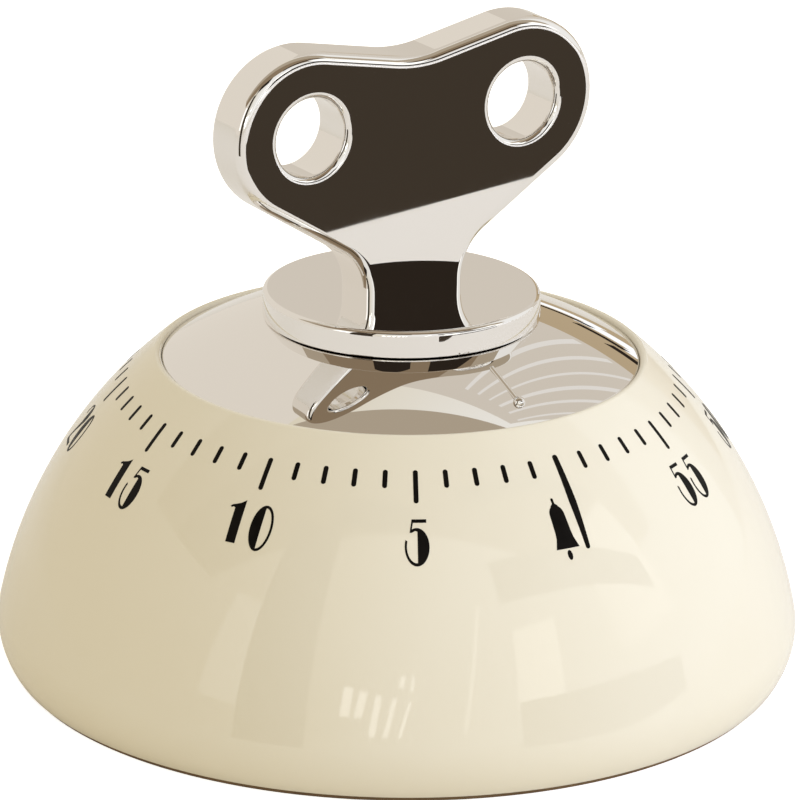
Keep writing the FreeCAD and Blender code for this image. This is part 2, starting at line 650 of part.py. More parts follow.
def phases():
    """Tooth phases that put every gear pair in mesh at rest."""
    at = arbor_places()
    main_to_second = bearing_angle(at["main"], at["second"])
    main_to_strike = bearing_angle(at["main"], at["strike"])
    second_to_third = bearing_angle(at["second"], at["third"])
    third_to_escape = bearing_angle(at["third"], at["escape"])
    return {"second_pinion": meshed_phase(main_to_second, MAIN_TEETH, 0.0, SECOND_PINION),
            "strike_pinion": meshed_phase(main_to_strike, MAIN_TEETH, 0.0, STRIKE_PINION),
            "third_pinion": meshed_phase(second_to_third, SECOND_TEETH, 0.0, THIRD_PINION),
            "escape_pinion": meshed_phase(third_to_escape, THIRD_TEETH, 0.0, ESCAPE_PINION)}


def main_wheel():
    """Large wheel, loose on the main arbor and driven through the click."""
    body = gear(MAIN_TEETH, COARSE, -COARSE_SHIFT, 0.0, Vector(0, 0, 0), MAIN_Z, WHEEL_T)
    windows = [tube(*polar(9.0, angle, MAIN_Z - 1), 3, 2.4) for angle in (72, 144, 216, 288)]
    click_hole = disc_at(click_pivot_place() + Vector(0, 0, MAIN_Z - 1), 3, 0.75)
    spring_hole = disc_at(click_spring_place() + Vector(0, 0, MAIN_Z - 1), 3, 0.5)
    bore = tube(0, 0, MAIN_Z - 1, 3, ARBOR_R + PIVOT_GAP)
    return body.cut(Part.makeCompound(windows + [click_hole, spring_hole, bore]))


def click_pivot_place():
    """Where the click is riveted to the main wheel."""
    return polar(10.6, 20.0)


def click_spring_place():
    """Where the click spring's foot is fixed in the main wheel."""
    return polar(11.6, -28.0)


def ratchet_wheel():
    """Saw-toothed wheel fixed on the main arbor."""
    points = []
    for angle in even_angles(RATCHET_TEETH, 4.0):
        tip = polar(RATCHET_R, angle)
        root = polar(RATCHET_R - 1.0, angle + 0.6)
        points += [(tip.x, tip.y), (root.x, root.y)]
    body = prism(points, RATCHET_Z, THIN_WHEEL_T)
    return body.cut(tube(0, 0, RATCHET_Z - 1, 3, ARBOR_R))


def click():
    """Pawl on the main wheel whose beak rests near the ratchet's teeth."""
    pivot = click_pivot_place()
    beak = polar(RATCHET_R + 0.45, -16.0)
    arm = bar(pivot, beak, 1.3, RATCHET_Z, THIN_WHEEL_T)
    arm = arm.cut(tube(0, 0, RATCHET_Z - 1, 3, RATCHET_R + 0.12))
    rivet = fuse_all([disc_at(pivot + Vector(0, 0, MAIN_Z - 0.2), RATCHET_Z - MAIN_Z + 0.4, 0.7),
                      disc_at(pivot + Vector(0, 0, RATCHET_Z), THIN_WHEEL_T, 1.3)])
    return fuse_all([arm, rivet])


def click_spring():
    """Bent wire that presses the click against the ratchet."""
    foot = click_spring_place()
    reach = polar(9.35, -0.5)
    wire = bar(foot, reach, 0.4, RATCHET_Z + 0.1, 0.5)
    peg = disc_at(foot + Vector(0, 0, MAIN_Z + 0.05), RATCHET_Z - MAIN_Z + 0.4, 0.45)
    return fuse_all([wire, peg])


def second_wheel():
    """Second wheel of the going train."""
    return wheel(SECOND_TEETH, arbor_places()["second"], SECOND_Z)


def second_arbor():
    """Second arbor with the pinion that the main wheel drives."""
    place = arbor_places()["second"]
    phase = phases()["second_pinion"]
    pinion = gear(SECOND_PINION, COARSE, COARSE_SHIFT, phase, place, MAIN_Z - 0.5, PINION_LEN)
    return fuse_all([staff(place), pinion])


def third_wheel():
    """Third wheel of the going train."""
    return wheel(THIRD_TEETH, arbor_places()["third"], THIRD_Z)


def third_arbor():
    """Third arbor with the pinion that the second wheel drives."""
    place = arbor_places()["third"]
    pinion = gear(THIRD_PINION, FINE, FINE_SHIFT, phases()["third_pinion"], place, SECOND_Z - 0.4, 1.6)
    return fuse_all([staff(place), pinion])


def escape_wheel():
    """Escape wheel with slender slanted teeth."""
    place = arbor_places()["escape"]
    points = []
    for angle in even_angles(ESCAPE_TEETH):
        for radius, lead in ((ESCAPE_R, 0.0), (ESCAPE_R, 1.4), (ESCAPE_R - 0.8, 3.6), (ESCAPE_R - 0.8, 9.0)):
            spot = place + polar(radius, angle + lead)
            points.append((spot.x, spot.y))
    body = prism(points, ESCAPE_Z, 0.6)
    return body.cut(tube(place.x, place.y, ESCAPE_Z - 1, 3, STAFF_R))


def escape_arbor():
    """Escape arbor with the pinion that the third wheel drives."""
    place = arbor_places()["escape"]
    pinion = gear(ESCAPE_PINION, FINE, FINE_SHIFT, phases()["escape_pinion"], place, THIRD_Z - 0.4, 1.4)
    return fuse_all([staff(place), pinion])


def pallet_pin_places():
    """The two pallet pins, just outside the escape wheel's teeth when the pallet is at rest."""
    at = arbor_places()
    towards = bearing_angle(at["escape"], at["pallet"])
    radius = ESCAPE_R + PALLET_PIN_R + PALLET_PIN_GAP
    return [at["escape"] + polar(radius, towards + sign * PALLET_PIN_SPREAD_DEG) for sign in (-1, 1)]


def pallet():
    """Two-armed pallet with a steel pin in each arm, hanging over the escape wheel."""
    centre = arbor_places()["pallet"]
    z = ESCAPE_Z + 1.2
    arms = [bar(centre, place, 1.0, z, 0.8) for place in pallet_pin_places()]
    pins = [disc_at(place + Vector(0, 0, ESCAPE_Z - 0.3), 1.6, PALLET_PIN_R) for place in pallet_pin_places()]
    hub = tube(centre.x, centre.y, z, 0.8, 1.5)
    return fuse_all(arms + [hub] + pins).cut(tube(centre.x, centre.y, z - 1, 3, STAFF_R))


def pallet_staff():
    """Staff that carries the pallet and the balance bar."""
    return staff(arbor_places()["pallet"])


def balance_bar():
    """Weighted bar on the pallet staff that sets how fast the timer runs."""
    centre = arbor_places()["pallet"]
    outward = Vector(centre.x, centre.y, 0).normalize()
    ends = [centre + outward * (sign * 4.2) for sign in (-1, 1)]
    z = ESCAPE_Z + 3.2
    body = bar(ends[0], ends[1], 1.2, z, 0.8)
    hub = disc_at(centre + Vector(0, 0, z), 1.2, 1.5)
    weights = [disc_at(end + Vector(0, 0, z), 1.6, 1.1) for end in ends]
    return fuse_all([body, hub] + weights).cut(tube(centre.x, centre.y, z - 1, 3, STAFF_R))


# ================================================================ mainspring
def mainspring():
    """Flat spiral spring round the main arbor, hooked to the spring post."""
    def wrap(offset):
        steps = SPRING_TURNS * 12
        points = []
        for step in range(steps + 1):
            part = step / steps
            radius = SPRING_IN_R + (SPRING_OUT_R - SPRING_IN_R) * part + offset
            points.append(polar(radius, 360.0 * SPRING_TURNS * part, SPRING_Z))
        curve = Part.BSplineCurve()
        curve.interpolate(points)
        return curve.toShape(), points
    inner, inner_points = wrap(-SPRING_T / 2)
    outer, outer_points = wrap(SPRING_T / 2)
    ends = [Part.LineSegment(inner_points[0], outer_points[0]).toShape(),
            Part.LineSegment(outer_points[-1], inner_points[-1]).toShape()]
    face = Part.Face(Part.Wire([inner, ends[1], outer, ends[0]]))
    return face.extrude(Vector(0, 0, SPRING_H))


def spring_post():
    """Post on the lower plate that holds the mainspring's outer end."""
    place = polar(SPRING_OUT_R + SPRING_T / 2 + 0.8, 0.0)
    low = LOWER_Z + PLATE_GAUGE
    return disc_at(place + Vector(0, 0, low), SPRING_Z + SPRING_H - low, 0.8)


# ================================================================ alarm
def strike_wheel():
    """Star wheel that pushes the hammer's tail."""
    place = arbor_places()["strike"]
    points = []
    for angle in even_angles(STRIKE_TEETH):
        for radius, lead in ((4.3, 0.0), (4.3, 4.0), (3.1, 12.0), (3.1, 24.0)):
            spot = place + polar(radius, angle + lead)
            points.append((spot.x, spot.y))
    return prism(points, STRIKE_Z, WHEEL_T).cut(tube(place.x, place.y, STRIKE_Z - 1, 3, STAFF_R))


def strike_arbor():
    """Strike arbor with the pinion that the main wheel drives."""
    place = arbor_places()["strike"]
    pinion = gear(STRIKE_PINION, COARSE, COARSE_SHIFT, phases()["strike_pinion"], place, MAIN_Z - 0.5, 1.8)
    return fuse_all([staff(place), pinion])


def hammer_head_place():
    """Where the hammer's head waits beside the bell."""
    return polar(BELL_R + HAMMER_GAP + HAMMER_HEAD_R, HAMMER_HEAD_DEG)


def hammer_staff():
    """Staff that carries the hammer's tail above the lower plate and its arm below."""
    place = arbor_places()["hammer"]
    high_z = UPPER_Z - 0.1
    body = disc_at(place + Vector(0, 0, HAMMER_ARM_Z - 0.6), high_z - HAMMER_ARM_Z + 0.6, STAFF_R)
    pivot = disc_at(place + Vector(0, 0, high_z - 0.5), PLATE_GAUGE + 1.0, PIVOT_R)
    return fuse_all([body, pivot])


def hammer_tail():
    """Short lever on the hammer staff whose tip waits beside the star wheel."""
    at = arbor_places()
    reach = (at["strike"] - at["hammer"]).Length - 4.3 - 0.3 - 0.5
    tip = at["hammer"] + (at["strike"] - at["hammer"]).normalize() * reach
    lever = bar(at["hammer"], tip, 1.0, STRIKE_Z, WHEEL_T)
    hub = disc_at(at["hammer"] + Vector(0, 0, STRIKE_Z - 0.3), WHEEL_T + 0.6, 1.6)
    return fuse_all([lever, hub]).cut(disc_at(at["hammer"] + Vector(0, 0, STRIKE_Z - 2), 6, STAFF_R))


def hammer_arm():
    """Springy arm from the hammer staff to the head, below the lower plate."""
    pivot = arbor_places()["hammer"]
    head = hammer_head_place()
    arm = bar(pivot, head, 1.4, HAMMER_ARM_Z, 0.8)
    hub = disc_at(pivot + Vector(0, 0, HAMMER_ARM_Z - 0.4), 1.8, 1.6)
    arm = fuse_all([arm, hub])
    return arm.cut(Part.makeCompound([disc_at(pivot, 20, STAFF_R), disc_at(head, 20, HAMMER_NECK_R)]))


def hammer_head():
    """Heavy brass head riveted through the arm's end."""
    head = hammer_head_place()
    slug = disc_at(head + Vector(0, 0, HAMMER_ARM_Z - 1.6), 1.6, HAMMER_HEAD_R)
    neck = disc_at(head + Vector(0, 0, HAMMER_ARM_Z - 0.1), 1.2, HAMMER_NECK_R)
    cap = disc_at(head + Vector(0, 0, HAMMER_ARM_Z + 0.8), 0.4, 1.4)
    return fuse_all([slug, neck, cap])


def hammer_spring():
    """Bent wire on the lower plate that presses on the hammer's tail."""
    at = arbor_places()
    towards = (at["strike"] - at["hammer"]).normalize()
    side = Vector(-towards.y, towards.x, 0)
    tip = at["hammer"] + towards * 5.0 + side * 1.5
    foot = tip + towards * 1.5 + side * 5.0
    z = LOWER_Z + PLATE_GAUGE
    peg = disc_at(foot + Vector(0, 0, z), STRIKE_Z + 0.6 - z, 0.6)
    return fuse_all([bar(foot, tip, 0.4, STRIKE_Z + 0.1, 0.5), peg])


def bell():
    """Round gong, open below, hung from the lower plate."""
    cup = tube(0, 0, BELL_TOP - BELL_H, BELL_H, BELL_R)
    cup = round_edges(cup, 2.6, circle_edge(BELL_TOP, BELL_R))
    hollow = tube(0, 0, BELL_TOP - BELL_H - 1, BELL_H - BELL_T + 1, BELL_R - BELL_T)
    hollow = round_edges(hollow, 1.8, circle_edge(BELL_TOP - BELL_T, BELL_R - BELL_T))
    return cup.cut(hollow).cut(tube(0, 0, 0, 20, 1.6))


def bell_post():
    """Spacer between the lower plate and the bell, off the main arbor's pivot."""
    return tube(0, 0, BELL_TOP, LOWER_Z - BELL_TOP, 4.0, 1.9)


def bell_screw():
    """Hollow-ended screw that holds the bell to its post."""
    head = tube(0, 0, BELL_TOP - BELL_T - 1.2, 1.2, 3.2)
    shank = tube(0, 0, BELL_TOP - BELL_T, BELL_T + 0.9, 1.55)
    screw = fuse_all([head, shank])
    return screw.cut(cross_recess(Vector(0, 0, BELL_TOP - BELL_T - 1.2), 1.8, 0.6, True))


def release_cam():
    """Cam on the main arbor above the upper plate, with its notch at zero."""
    body = tube(0, 0, CAM_Z, 1.2, CAM_R)
    notch = bar(polar(CAM_R - 0.6, 90), polar(CAM_R + 3, 90), 2.6, CAM_Z - 1, 4)
    hub = tube(0, 0, CAM_Z, 2.6, 4.2)
    return fuse_all([body.cut(notch), hub]).cut(tube(0, 0, CAM_Z - 1, 6, ARBOR_R))


def release_post_place():
    """Where the release lever pivots on the upper plate."""
    return polar(16.0, 130.0)


def release_post():
    """Shouldered post riveted in the upper plate."""
    place = release_post_place()
    top = UPPER_Z + PLATE_GAUGE
    return fuse_all([disc_at(place + Vector(0, 0, top), 0.9, 1.8),
                     disc_at(place + Vector(0, 0, top + 0.8), 1.5, 0.9),
                     disc_at(place + Vector(0, 0, top + 2.2), 0.4, 1.7)])


def release_lever():
    """Lever whose nose falls into the cam's notch at zero and lets the hammer go."""
    pivot = release_post_place()
    nose = polar(CAM_R + 1.0, 90.0)
    tail = polar(20.5, 107.0)
    z = UPPER_Z + PLATE_GAUGE + 1.0
    elbow = nose + Vector(0, 1.4, 0)
    arms = [bar(pivot, elbow, 1.8, z, 1.0), bar(nose, elbow, 1.6, z, 1.0), bar(pivot, tail, 1.8, z, 1.0)]
    hub = disc_at(pivot + Vector(0, 0, z), 1.0, 2.2)
    return fuse_all(arms + [hub]).cut(disc_at(pivot + Vector(0, 0, z - 1), 4, 0.9 + PIVOT_GAP))


# ================================================================ export
PARTS = {
    "dome_shell": dome_shell, "base_cover": base_cover, "foot_ring": foot_ring, "base_screws": base_screws,
    "dial_plate": dial_plate, "collar_disc": collar_disc, "key": key, "knob_screws": knob_screws,
    "main_arbor": main_arbor, "arbor_clip": arbor_clip,
    "lower_plate": lambda: movement_plate(LOWER_Z, False),
    "upper_plate": lambda: movement_plate(UPPER_Z, True),
    "plate_pillars": plate_pillars, "pillar_nuts": pillar_nuts, "movement_screws": movement_screws,
    "main_wheel": main_wheel, "ratchet_wheel": ratchet_wheel, "click": click, "click_spring": click_spring,
    "second_wheel": second_wheel, "second_arbor": second_arbor, "third_wheel": third_wheel,
    "third_arbor": third_arbor, "escape_wheel": escape_wheel, "escape_arbor": escape_arbor,
    "pallet": pallet, "pallet_staff": pallet_staff, "balance_bar": balance_bar,
    "mainspring": mainspring, "spring_post": spring_post,
    "strike_wheel": strike_wheel, "strike_arbor": strike_arbor, "hammer_staff": hammer_staff,
    "hammer_tail": hammer_tail, "hammer_arm": hammer_arm, "hammer_head": hammer_head,
    "hammer_spring": hammer_spring,
    "bell": bell, "bell_post": bell_post, "bell_screw": bell_screw,
    "release_cam": release_cam, "release_post": release_post, "release_lever": release_lever,
}

os.makedirs("parts", exist_ok=True)
for name, make in PARTS.items():
    shape = make()
    shape.exportStep("parts/" + name + ".step")
    print(name, "solids", len(shape.Solids), "volume", round(shape.Volume, 1), "valid", shape.isValid())
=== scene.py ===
"""Looks of the wind-up kitchen timer: smooth outer pieces, printed scale, materials, studio and camera.

Lengths named here are in millimetres and turn into metres where a mesh is built. The outer pieces
follow the same curves as the CAD parts that they replace.
"""
import bpy
import math
from mathutils import Matrix, Vector
from mathutils.geometry import delaunay_2d_cdt


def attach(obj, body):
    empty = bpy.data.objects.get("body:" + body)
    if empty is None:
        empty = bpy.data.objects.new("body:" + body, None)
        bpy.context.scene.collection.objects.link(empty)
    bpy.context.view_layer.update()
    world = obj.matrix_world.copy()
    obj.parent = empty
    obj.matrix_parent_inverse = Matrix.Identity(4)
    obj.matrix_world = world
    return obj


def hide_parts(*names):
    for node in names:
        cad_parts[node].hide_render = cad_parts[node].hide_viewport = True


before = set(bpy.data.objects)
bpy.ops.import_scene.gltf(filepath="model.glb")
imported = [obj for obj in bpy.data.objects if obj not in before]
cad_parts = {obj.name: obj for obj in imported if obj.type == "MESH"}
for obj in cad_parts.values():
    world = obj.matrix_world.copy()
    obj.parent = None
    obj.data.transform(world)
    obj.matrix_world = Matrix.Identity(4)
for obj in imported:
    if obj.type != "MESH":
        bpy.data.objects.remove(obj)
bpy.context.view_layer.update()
MM = 0.001
TAU = 2 * math.pi
QUARTER = math.pi / 2
TINY = 1e-6                     # lengths below this count as nothing
ROUND_SEGMENTS = 256            # faces round a large turned piece
FOOT_SEGMENTS = 192
BEAD_SEGMENTS = 40
ROD_SEGMENTS = 24

# ---------------------------------------------------------------- housing
FOOT_H = 0.6
FOOT_OUTER_R = 40.3
FOOT_INNER_R = 34.8
FOOT_EDGE = 0.15                # rounding of the foot ring's outer edges
FOOT_BEAD = (35.4, 36.4, 1.4)   # inner radius, outer radius and top of the bead on the foot ring
DOME_ARC_R = 48.6               # the dome's side is an arc about this centre in its profile
DOME_ARC_X = -5.7
DOME_ARC_Z = -3.7
DOME_FOOT_ARC_R = 7.0           # and it turns in to the foot with a smaller arc
DOME_TURN = math.radians(11.5)  # angle at which the two arcs meet
DOME_WALL = 2.2
OPENING_R = 24.9
LIP_ROUND = 0.5

# ---------------------------------------------------------------- knob
PLATE_R = 24.87                 # a little fuller than the CAD plate, so that the gap round it looks fine
PLATE_CROWN_R = 50.0
PLATE_LAND_R = 13.8             # the flat middle that the collar sits on
PLATE_T = 1.2
PLATE_SKIRT_Z = 31.6
PLATE_EDGE = 0.3
POINTER_IN_R = 17.0
POINTER_BEAD_R = 22.0
POINTER_W = 0.55
POINTER_BEAD_D = 1.25
COLLAR_R = 14.45
COLLAR_BOTTOM = 37.8
COLLAR_TOP = 40.55
COLLAR_ROUND = 0.55
COLLAR_FOOT_ROUND = 0.1
KEY_T = 5.8
KEY_EDGE = 1.1
KEY_LOBE_R = 8.85
KEY_LOBE_X = 12.87
KEY_LOBE_Z = 59.5
KEY_FLARE = math.radians(32.6)
KEY_TOP_SLOPE = math.radians(11.3)
KEY_VALLEY_R = 14.1
KEY_NECK_HALF = 5.95
KEY_NECK_BLEND_R = 5.8
KEY_HOLE_R = 4.1
KEY_HOLE_EDGE = 0.8
KEY_SINK = 0.05                 # the key's foot reaches this far into the collar
BORE_R = 2.55
PLATE_BOSS_R = 4.6
PLATE_BOSS_Z = 31.4

# ---------------------------------------------------------------- printed scale
INK_RISE = 0.02                 # the ink stands this far above the dome
INK_SINK = 0.03                 # and its underside lies this far inside it
INK_PITCH = 0.45                # spacing of the ink's mesh points
INK_MARGIN = 0.4 * INK_PITCH    # the inner ones keep this far from its outline
TICK_TOP = 38.45                # lengths along the dome's side curve, from its centre's height
TICK_END = 36.45
MAJOR_END = 34.85
TICK_W = 0.5
ZERO_TOP = 38.62
ZERO_END = 28.32
ZERO_HALVES = (0.29, 0.42, 0.25)    # half widths of the zero bar at its top, middle and foot
NUMERAL_FOOT = 28.3
NUMERAL_GAP = 0.42
PAIR_RISE = 0.22                # two figures stand this much higher than one
BELL_X = -2.27                  # the bell's place beside the zero bar


# ================================================================ mesh building
def merged(name, shells):
    """One mesh object from shells, each of vertices, faces and one normal per face corner."""
    verts, faces, normals = [], [], []
    for points, polygons, corners in shells:
        start = len(verts)
        verts += [Vector(p) * MM for p in points]
        faces += [[start + i for i in polygon] for polygon in polygons]
        normals += corners
    mesh = bpy.data.meshes.new(name)
    mesh.from_pydata(verts, [], faces)
    mesh.shade_smooth()
    mesh.normals_split_custom_set([Vector(n).normalized() for n in normals])
    piece = bpy.data.objects.new(name, mesh)
    bpy.context.scene.collection.objects.link(piece)
    return piece


def line(start, end):
    """Straight stretch of a profile: its points and their normals, the outside on the right."""
    dx, dz = end[0] - start[0], end[1] - start[1]
    length = math.hypot(dx, dz)
    normal = (dz / length, -dx / length)
    return [(start, normal), (end, normal)]


def arc(centre, radius, start, end, steps, hollow=False):
    """Round stretch of a profile between two angles; hollow turns its normals to the centre."""
    sign = -1 if hollow else 1
    stretch = []
    for step in range(steps + 1):
        angle = start + (end - start) * step / steps
        outward = (math.cos(angle), math.sin(angle))
        point = (centre[0] + radius * outward[0], centre[1] + radius * outward[1])
        stretch.append((point, (sign * outward[0], sign * outward[1])))
    return stretch


def lathe(stretches, segments):
    """Closed shell turned about Z from a profile that runs so that its outside is on the right."""
    pieces = []
    for stretch in stretches:
        for (a, na), (b, nb) in zip(stretch, stretch[1:]):
            if math.dist(a, b) > TINY:
                pieces.append((a, na, b, nb))
    index = {}
    points, polygons, corners = [], [], []

    def ring(point):
        key = (round(point[0], 5), round(point[1], 5))
        if key not in index:
            index[key] = len(points)
            count = segments if point[0] > TINY else 1
            for k in range(count):
                turn = TAU * k / segments
                points.append((point[0] * math.cos(turn), point[0] * math.sin(turn), point[1]))
        return index[key]

    def spun(normal, k):
        turn = TAU * k / segments
        return (normal[0] * math.cos(turn), normal[0] * math.sin(turn), normal[1])

    for a, na, b, nb in pieces:
        ring_a, ring_b = ring(a), ring(b)
        for k in range(segments):
            m = (k + 1) % segments
            if a[0] <= TINY:
                polygons.append([ring_a, ring_b + m, ring_b + k])
                corners += [spun(na, k + 0.5), spun(nb, m), spun(nb, k)]
            elif b[0] <= TINY:
                polygons.append([ring_a + k, ring_a + m, ring_b])
                corners += [spun(na, k), spun(na, m), spun(nb, k + 0.5)]
            else:
                polygons.append([ring_a + k, ring_a + m, ring_b + m, ring_b + k])
                corners += [spun(na, k), spun(na, m), spun(nb, m), spun(nb, k)]
    return points, polygons, corners


def facing(points, polygons, corners):
    """Turns every face to the side that its corner normals point to."""
    start = 0
    for polygon in polygons:
        count = len(polygon)
        spots = [Vector(points[i]) for i in polygon]
        middle = sum(spots, Vector()) / count
        around = Vector()
        for a, b in zip(spots, spots[1:] + spots[:1]):
            around += (a - middle).cross(b - middle)
        mean = sum((Vector(n) for n in corners[start:start + count]), Vector())
        if around.dot(mean) < 0:
            polygon.reverse()
            corners[start:start + count] = corners[start:start + count][::-1]
        start += count
    return points, polygons, corners


def strip(outline, sections, closed):
    """Band of faces along an outline of points with normals in XZ, over sections of (y, inset, tilt)."""
    points, polygons, corners, normals = [], [], [], []
    for (x, z), (nx, nz) in outline:
        for y, inset, tilt in sections:
            points.append((x - nx * inset, y, z - nz * inset))
            normals.append((nx * math.cos(tilt), math.sin(tilt), nz * math.cos(tilt)))
    rows = len(outline)
    across = len(sections)
    for row in range(rows if closed else rows - 1):
        after = (row + 1) % rows
        for k in range(across - 1):
            here, there = row * across + k, after * across + k
            polygon = [here, here + 1, there + 1, there]
            polygons.append(polygon)
            corners += [normals[i] for i in polygon]
    return facing(points, polygons, corners)


def edge_sections(half, rounding, steps):
    """Cross-section of a plate's rounded edge, from its front face to its back face."""
    sections = []
    for side in (-1, 1):
        for step in range(steps + 1):
            tilt = side * QUARTER * (steps - step if side < 0 else step) / steps
            y = side * (half - rounding) + rounding * math.sin(tilt)
            sections.append((y, rounding * (1 - math.cos(tilt)), tilt))
    return sections


def ellipse(centre, half_width, half_height, start, end, steps):
    """Stretch of an ellipse between two angles in degrees."""
    points = []
    for step in range(steps + 1):
        angle = math.radians(start + (end - start) * step / steps)
        points.append((centre[0] + half_width * math.cos(angle), centre[1] + half_height * math.sin(angle)))
    return points


def inside(point, loops):
    """Whether a point lies inside closed loops, holes left out."""
    x, y = point
    crossings = 0
    for loop in loops:
        for (ax, ay), (bx, by) in zip(loop, loop[1:] + loop[:1]):
            if (ay > y) != (by > y) and x < ax + (y - ay) * (bx - ax) / (by - ay):
                crossings += 1
    return crossings % 2 == 1


def filled(loops, inner_points=()):
    """Flat points and triangles that fill closed loops, holes left out."""
    points = [Vector(p) for loop in loops for p in loop] + [Vector(p) for p in inner_points]
    edges = []
    start = 0
    for loop in loops:
        edges += [(start + k, start + (k + 1) % len(loop)) for k in range(len(loop))]
        start += len(loop)
    flat, _, triangles, _, _, _ = delaunay_2d_cdt(points, edges, [], 0, TINY)
    kept = []
    for triangle in triangles:
        middle = sum((flat[i] for i in triangle), Vector((0, 0))) / 3
        if inside(middle, loops):
            kept.append(list(triangle))
    return flat, kept


def flat_face(loops, y):
    """Flat face in a plane of constant y from its outer loop and its holes, facing away from the middle."""
    flat, triangles = filled(loops)
    normal = (0, math.copysign(1, y), 0)
    return facing([(p.x, y, p.y) for p in flat], triangles, [normal] * (3 * len(triangles)))


def turned(shell, matrix):
    """A shell moved by a matrix."""
    points, polygons, corners = shell
    spin = matrix.to_3x3()
    moved = [tuple(matrix @ Vector(p)) for p in points]
    return moved, polygons, [tuple(spin @ Vector(n)) for n in corners]


# ================================================================ dome and its print
def dome_point(angle_left, along, rise=0.0):
    """Point and normal on the dome, from the angle left of the zero mark and the length up its side."""
    theta = along / DOME_ARC_R
    radius = DOME_ARC_X + (DOME_ARC_R + rise) * math.cos(theta)
    z = DOME_ARC_Z + (DOME_ARC_R + rise) * math.sin(theta)
    side = (-math.sin(angle_left), -math.cos(angle_left))
    normal = (side[0] * math.cos(theta), side[1] * math.cos(theta), math.sin(theta))
    return (radius * side[0], radius * side[1], z), normal


def dome_radius(along):
    """Distance from the Z axis of a point on the dome's side."""
    return DOME_ARC_X + DOME_ARC_R * math.cos(along / DOME_ARC_R)


def dome_profile():
    """The dome's wall: outside up from the foot, the lip, and down the inside."""
    side = (DOME_ARC_X, DOME_ARC_Z)
    reach = DOME_ARC_R - DOME_FOOT_ARC_R
    foot = (side[0] + reach * math.cos(DOME_TURN), side[1] + reach * math.sin(DOME_TURN))
    lip_x = OPENING_R + LIP_ROUND
    lip_z = side[1] + math.sqrt((DOME_ARC_R - LIP_ROUND) ** 2 - (lip_x - side[0]) ** 2)
    lip_angle = math.atan2(lip_z - side[1], lip_x - side[0])
    inner_r = DOME_ARC_R - DOME_WALL
    inner_angle = math.acos((OPENING_R - side[0]) / inner_r)
    foot_in_r = DOME_FOOT_ARC_R - DOME_WALL
    out_angle = math.asin((FOOT_H - foot[1]) / DOME_FOOT_ARC_R)
    in_angle = math.asin((FOOT_H - foot[1]) / foot_in_r)
    foot_out = (foot[0] + DOME_FOOT_ARC_R * math.cos(out_angle), FOOT_H)
    foot_in = (foot[0] + foot_in_r * math.cos(in_angle), FOOT_H)
    inner_top = (OPENING_R, side[1] + inner_r * math.sin(inner_angle))
    return [arc(foot, DOME_FOOT_ARC_R, out_angle, DOME_TURN, 12),
            arc(side, DOME_ARC_R, DOME_TURN, lip_angle, 48),
            arc((lip_x, lip_z), LIP_ROUND, lip_angle, math.pi, 10),
            line((OPENING_R, lip_z), inner_top),
            arc(side, inner_r, inner_angle, DOME_TURN, 24, hollow=True),
            arc(foot, foot_in_r, DOME_TURN, in_angle, 6, hollow=True),
            line(foot_in, foot_out)]


def ink(loops, angle_left, foot):
    """Thin closed shell of ink on the dome from flat loops, x to the right and y up from the foot."""
    fine = []
    for loop in loops:
        dense = []
        for (ax, ay), (bx, by) in zip(loop, loop[1:] + loop[:1]):
            parts = max(1, round(math.hypot(bx - ax, by - ay) / INK_PITCH))
            dense += [(ax + (bx - ax) * k / parts, ay + (by - ay) * k / parts) for k in range(parts)]
        fine.append(dense)
    outline = [Vector(p) for loop in fine for p in loop]
    low_x, high_x = min(p.x for p in outline), max(p.x for p in outline)
    low_y, high_y = min(p.y for p in outline), max(p.y for p in outline)
    shifts = (-INK_MARGIN, 0, INK_MARGIN)
    inner_points = []
    y = low_y + INK_PITCH / 2
    while y < high_y:
        x = low_x + INK_PITCH / 2
        while x < high_x:
            if all(inside((x + dx, y + dy), fine) for dx in shifts for dy in shifts):
                inner_points.append((x, y))
            x += INK_PITCH
        y += INK_PITCH
    flat, triangles = filled(fine, inner_points)
    return ink_shell([tuple(p) for p in flat], triangles, angle_left, foot)


def ink_shell(flat, triangles, angle_left, foot):
    """Top, underside and edge of a patch of ink, laid on the dome."""
    count = len(flat)
    points, tops = [], []
    for rise in (INK_RISE, -INK_SINK):
        for x, y in flat:
            along = foot + y
            angle = angle_left - x / dome_radius(along)
            point, normal = dome_point(angle, along, rise)
            points.append(point)
            tops.append(normal)
    polygons, corners, sides = [], [], {}
    for a, b, c in triangles:
        polygons.append([a, b, c])
        corners += [tops[a], tops[b], tops[c]]
        polygons.append([count + a, count + c, count + b])
        corners += [tuple(-v for v in tops[i]) for i in (a, c, b)]
        for edge in ((a, b), (b, c), (c, a)):
            if (edge[1], edge[0]) in sides:
                del sides[(edge[1], edge[0])]
            else:
                sides[edge] = True
    for a, b in sides:
        polygons.append([b, a, count + a, count + b])
        along = Vector(points[b]) - Vector(points[a])
        outward = along.cross(Vector(tops[a]))
        corners += [tuple(outward)] * 4
    return points, polygons, corners


def bar_loop(half_top, half_middle, half_end, length):
    """Upright bar with rounded ends and gently bowed sides, its foot at y = 0."""
    right = ellipse((0, half_end), half_end, half_end, -90, 0, 5)
    right.append((half_middle, length / 2))
    right += ellipse((0, length - half_top), half_top, half_top, 0, 90, 5)
    left = [(-x, y) for x, y in reversed(right)]
    return right + left[1:-1]


# Numerals: thick on one side, hairline on the other. Each is its loops and its width.
def numeral_zero():
    outer = ellipse((1.2, 2.42), 1.2, 2.42, 0, 360, 40)[:-1]
    counter = ellipse((1.16, 2.42), 0.99, 2.14, -90, 90, 20)
    return [outer, counter], 2.4


def numeral_one():
    stem = [(0.62, 0.4), (1.68, 0.4), (1.68, 5.0), (1.15, 4.62), (0.55, 4.38)]
    flag = [(0.28, 4.3), (0.05, 4.1), (0.2, 3.98), (0.42, 4.1), (0.62, 4.0)]
    return [stem + flag], 2.45


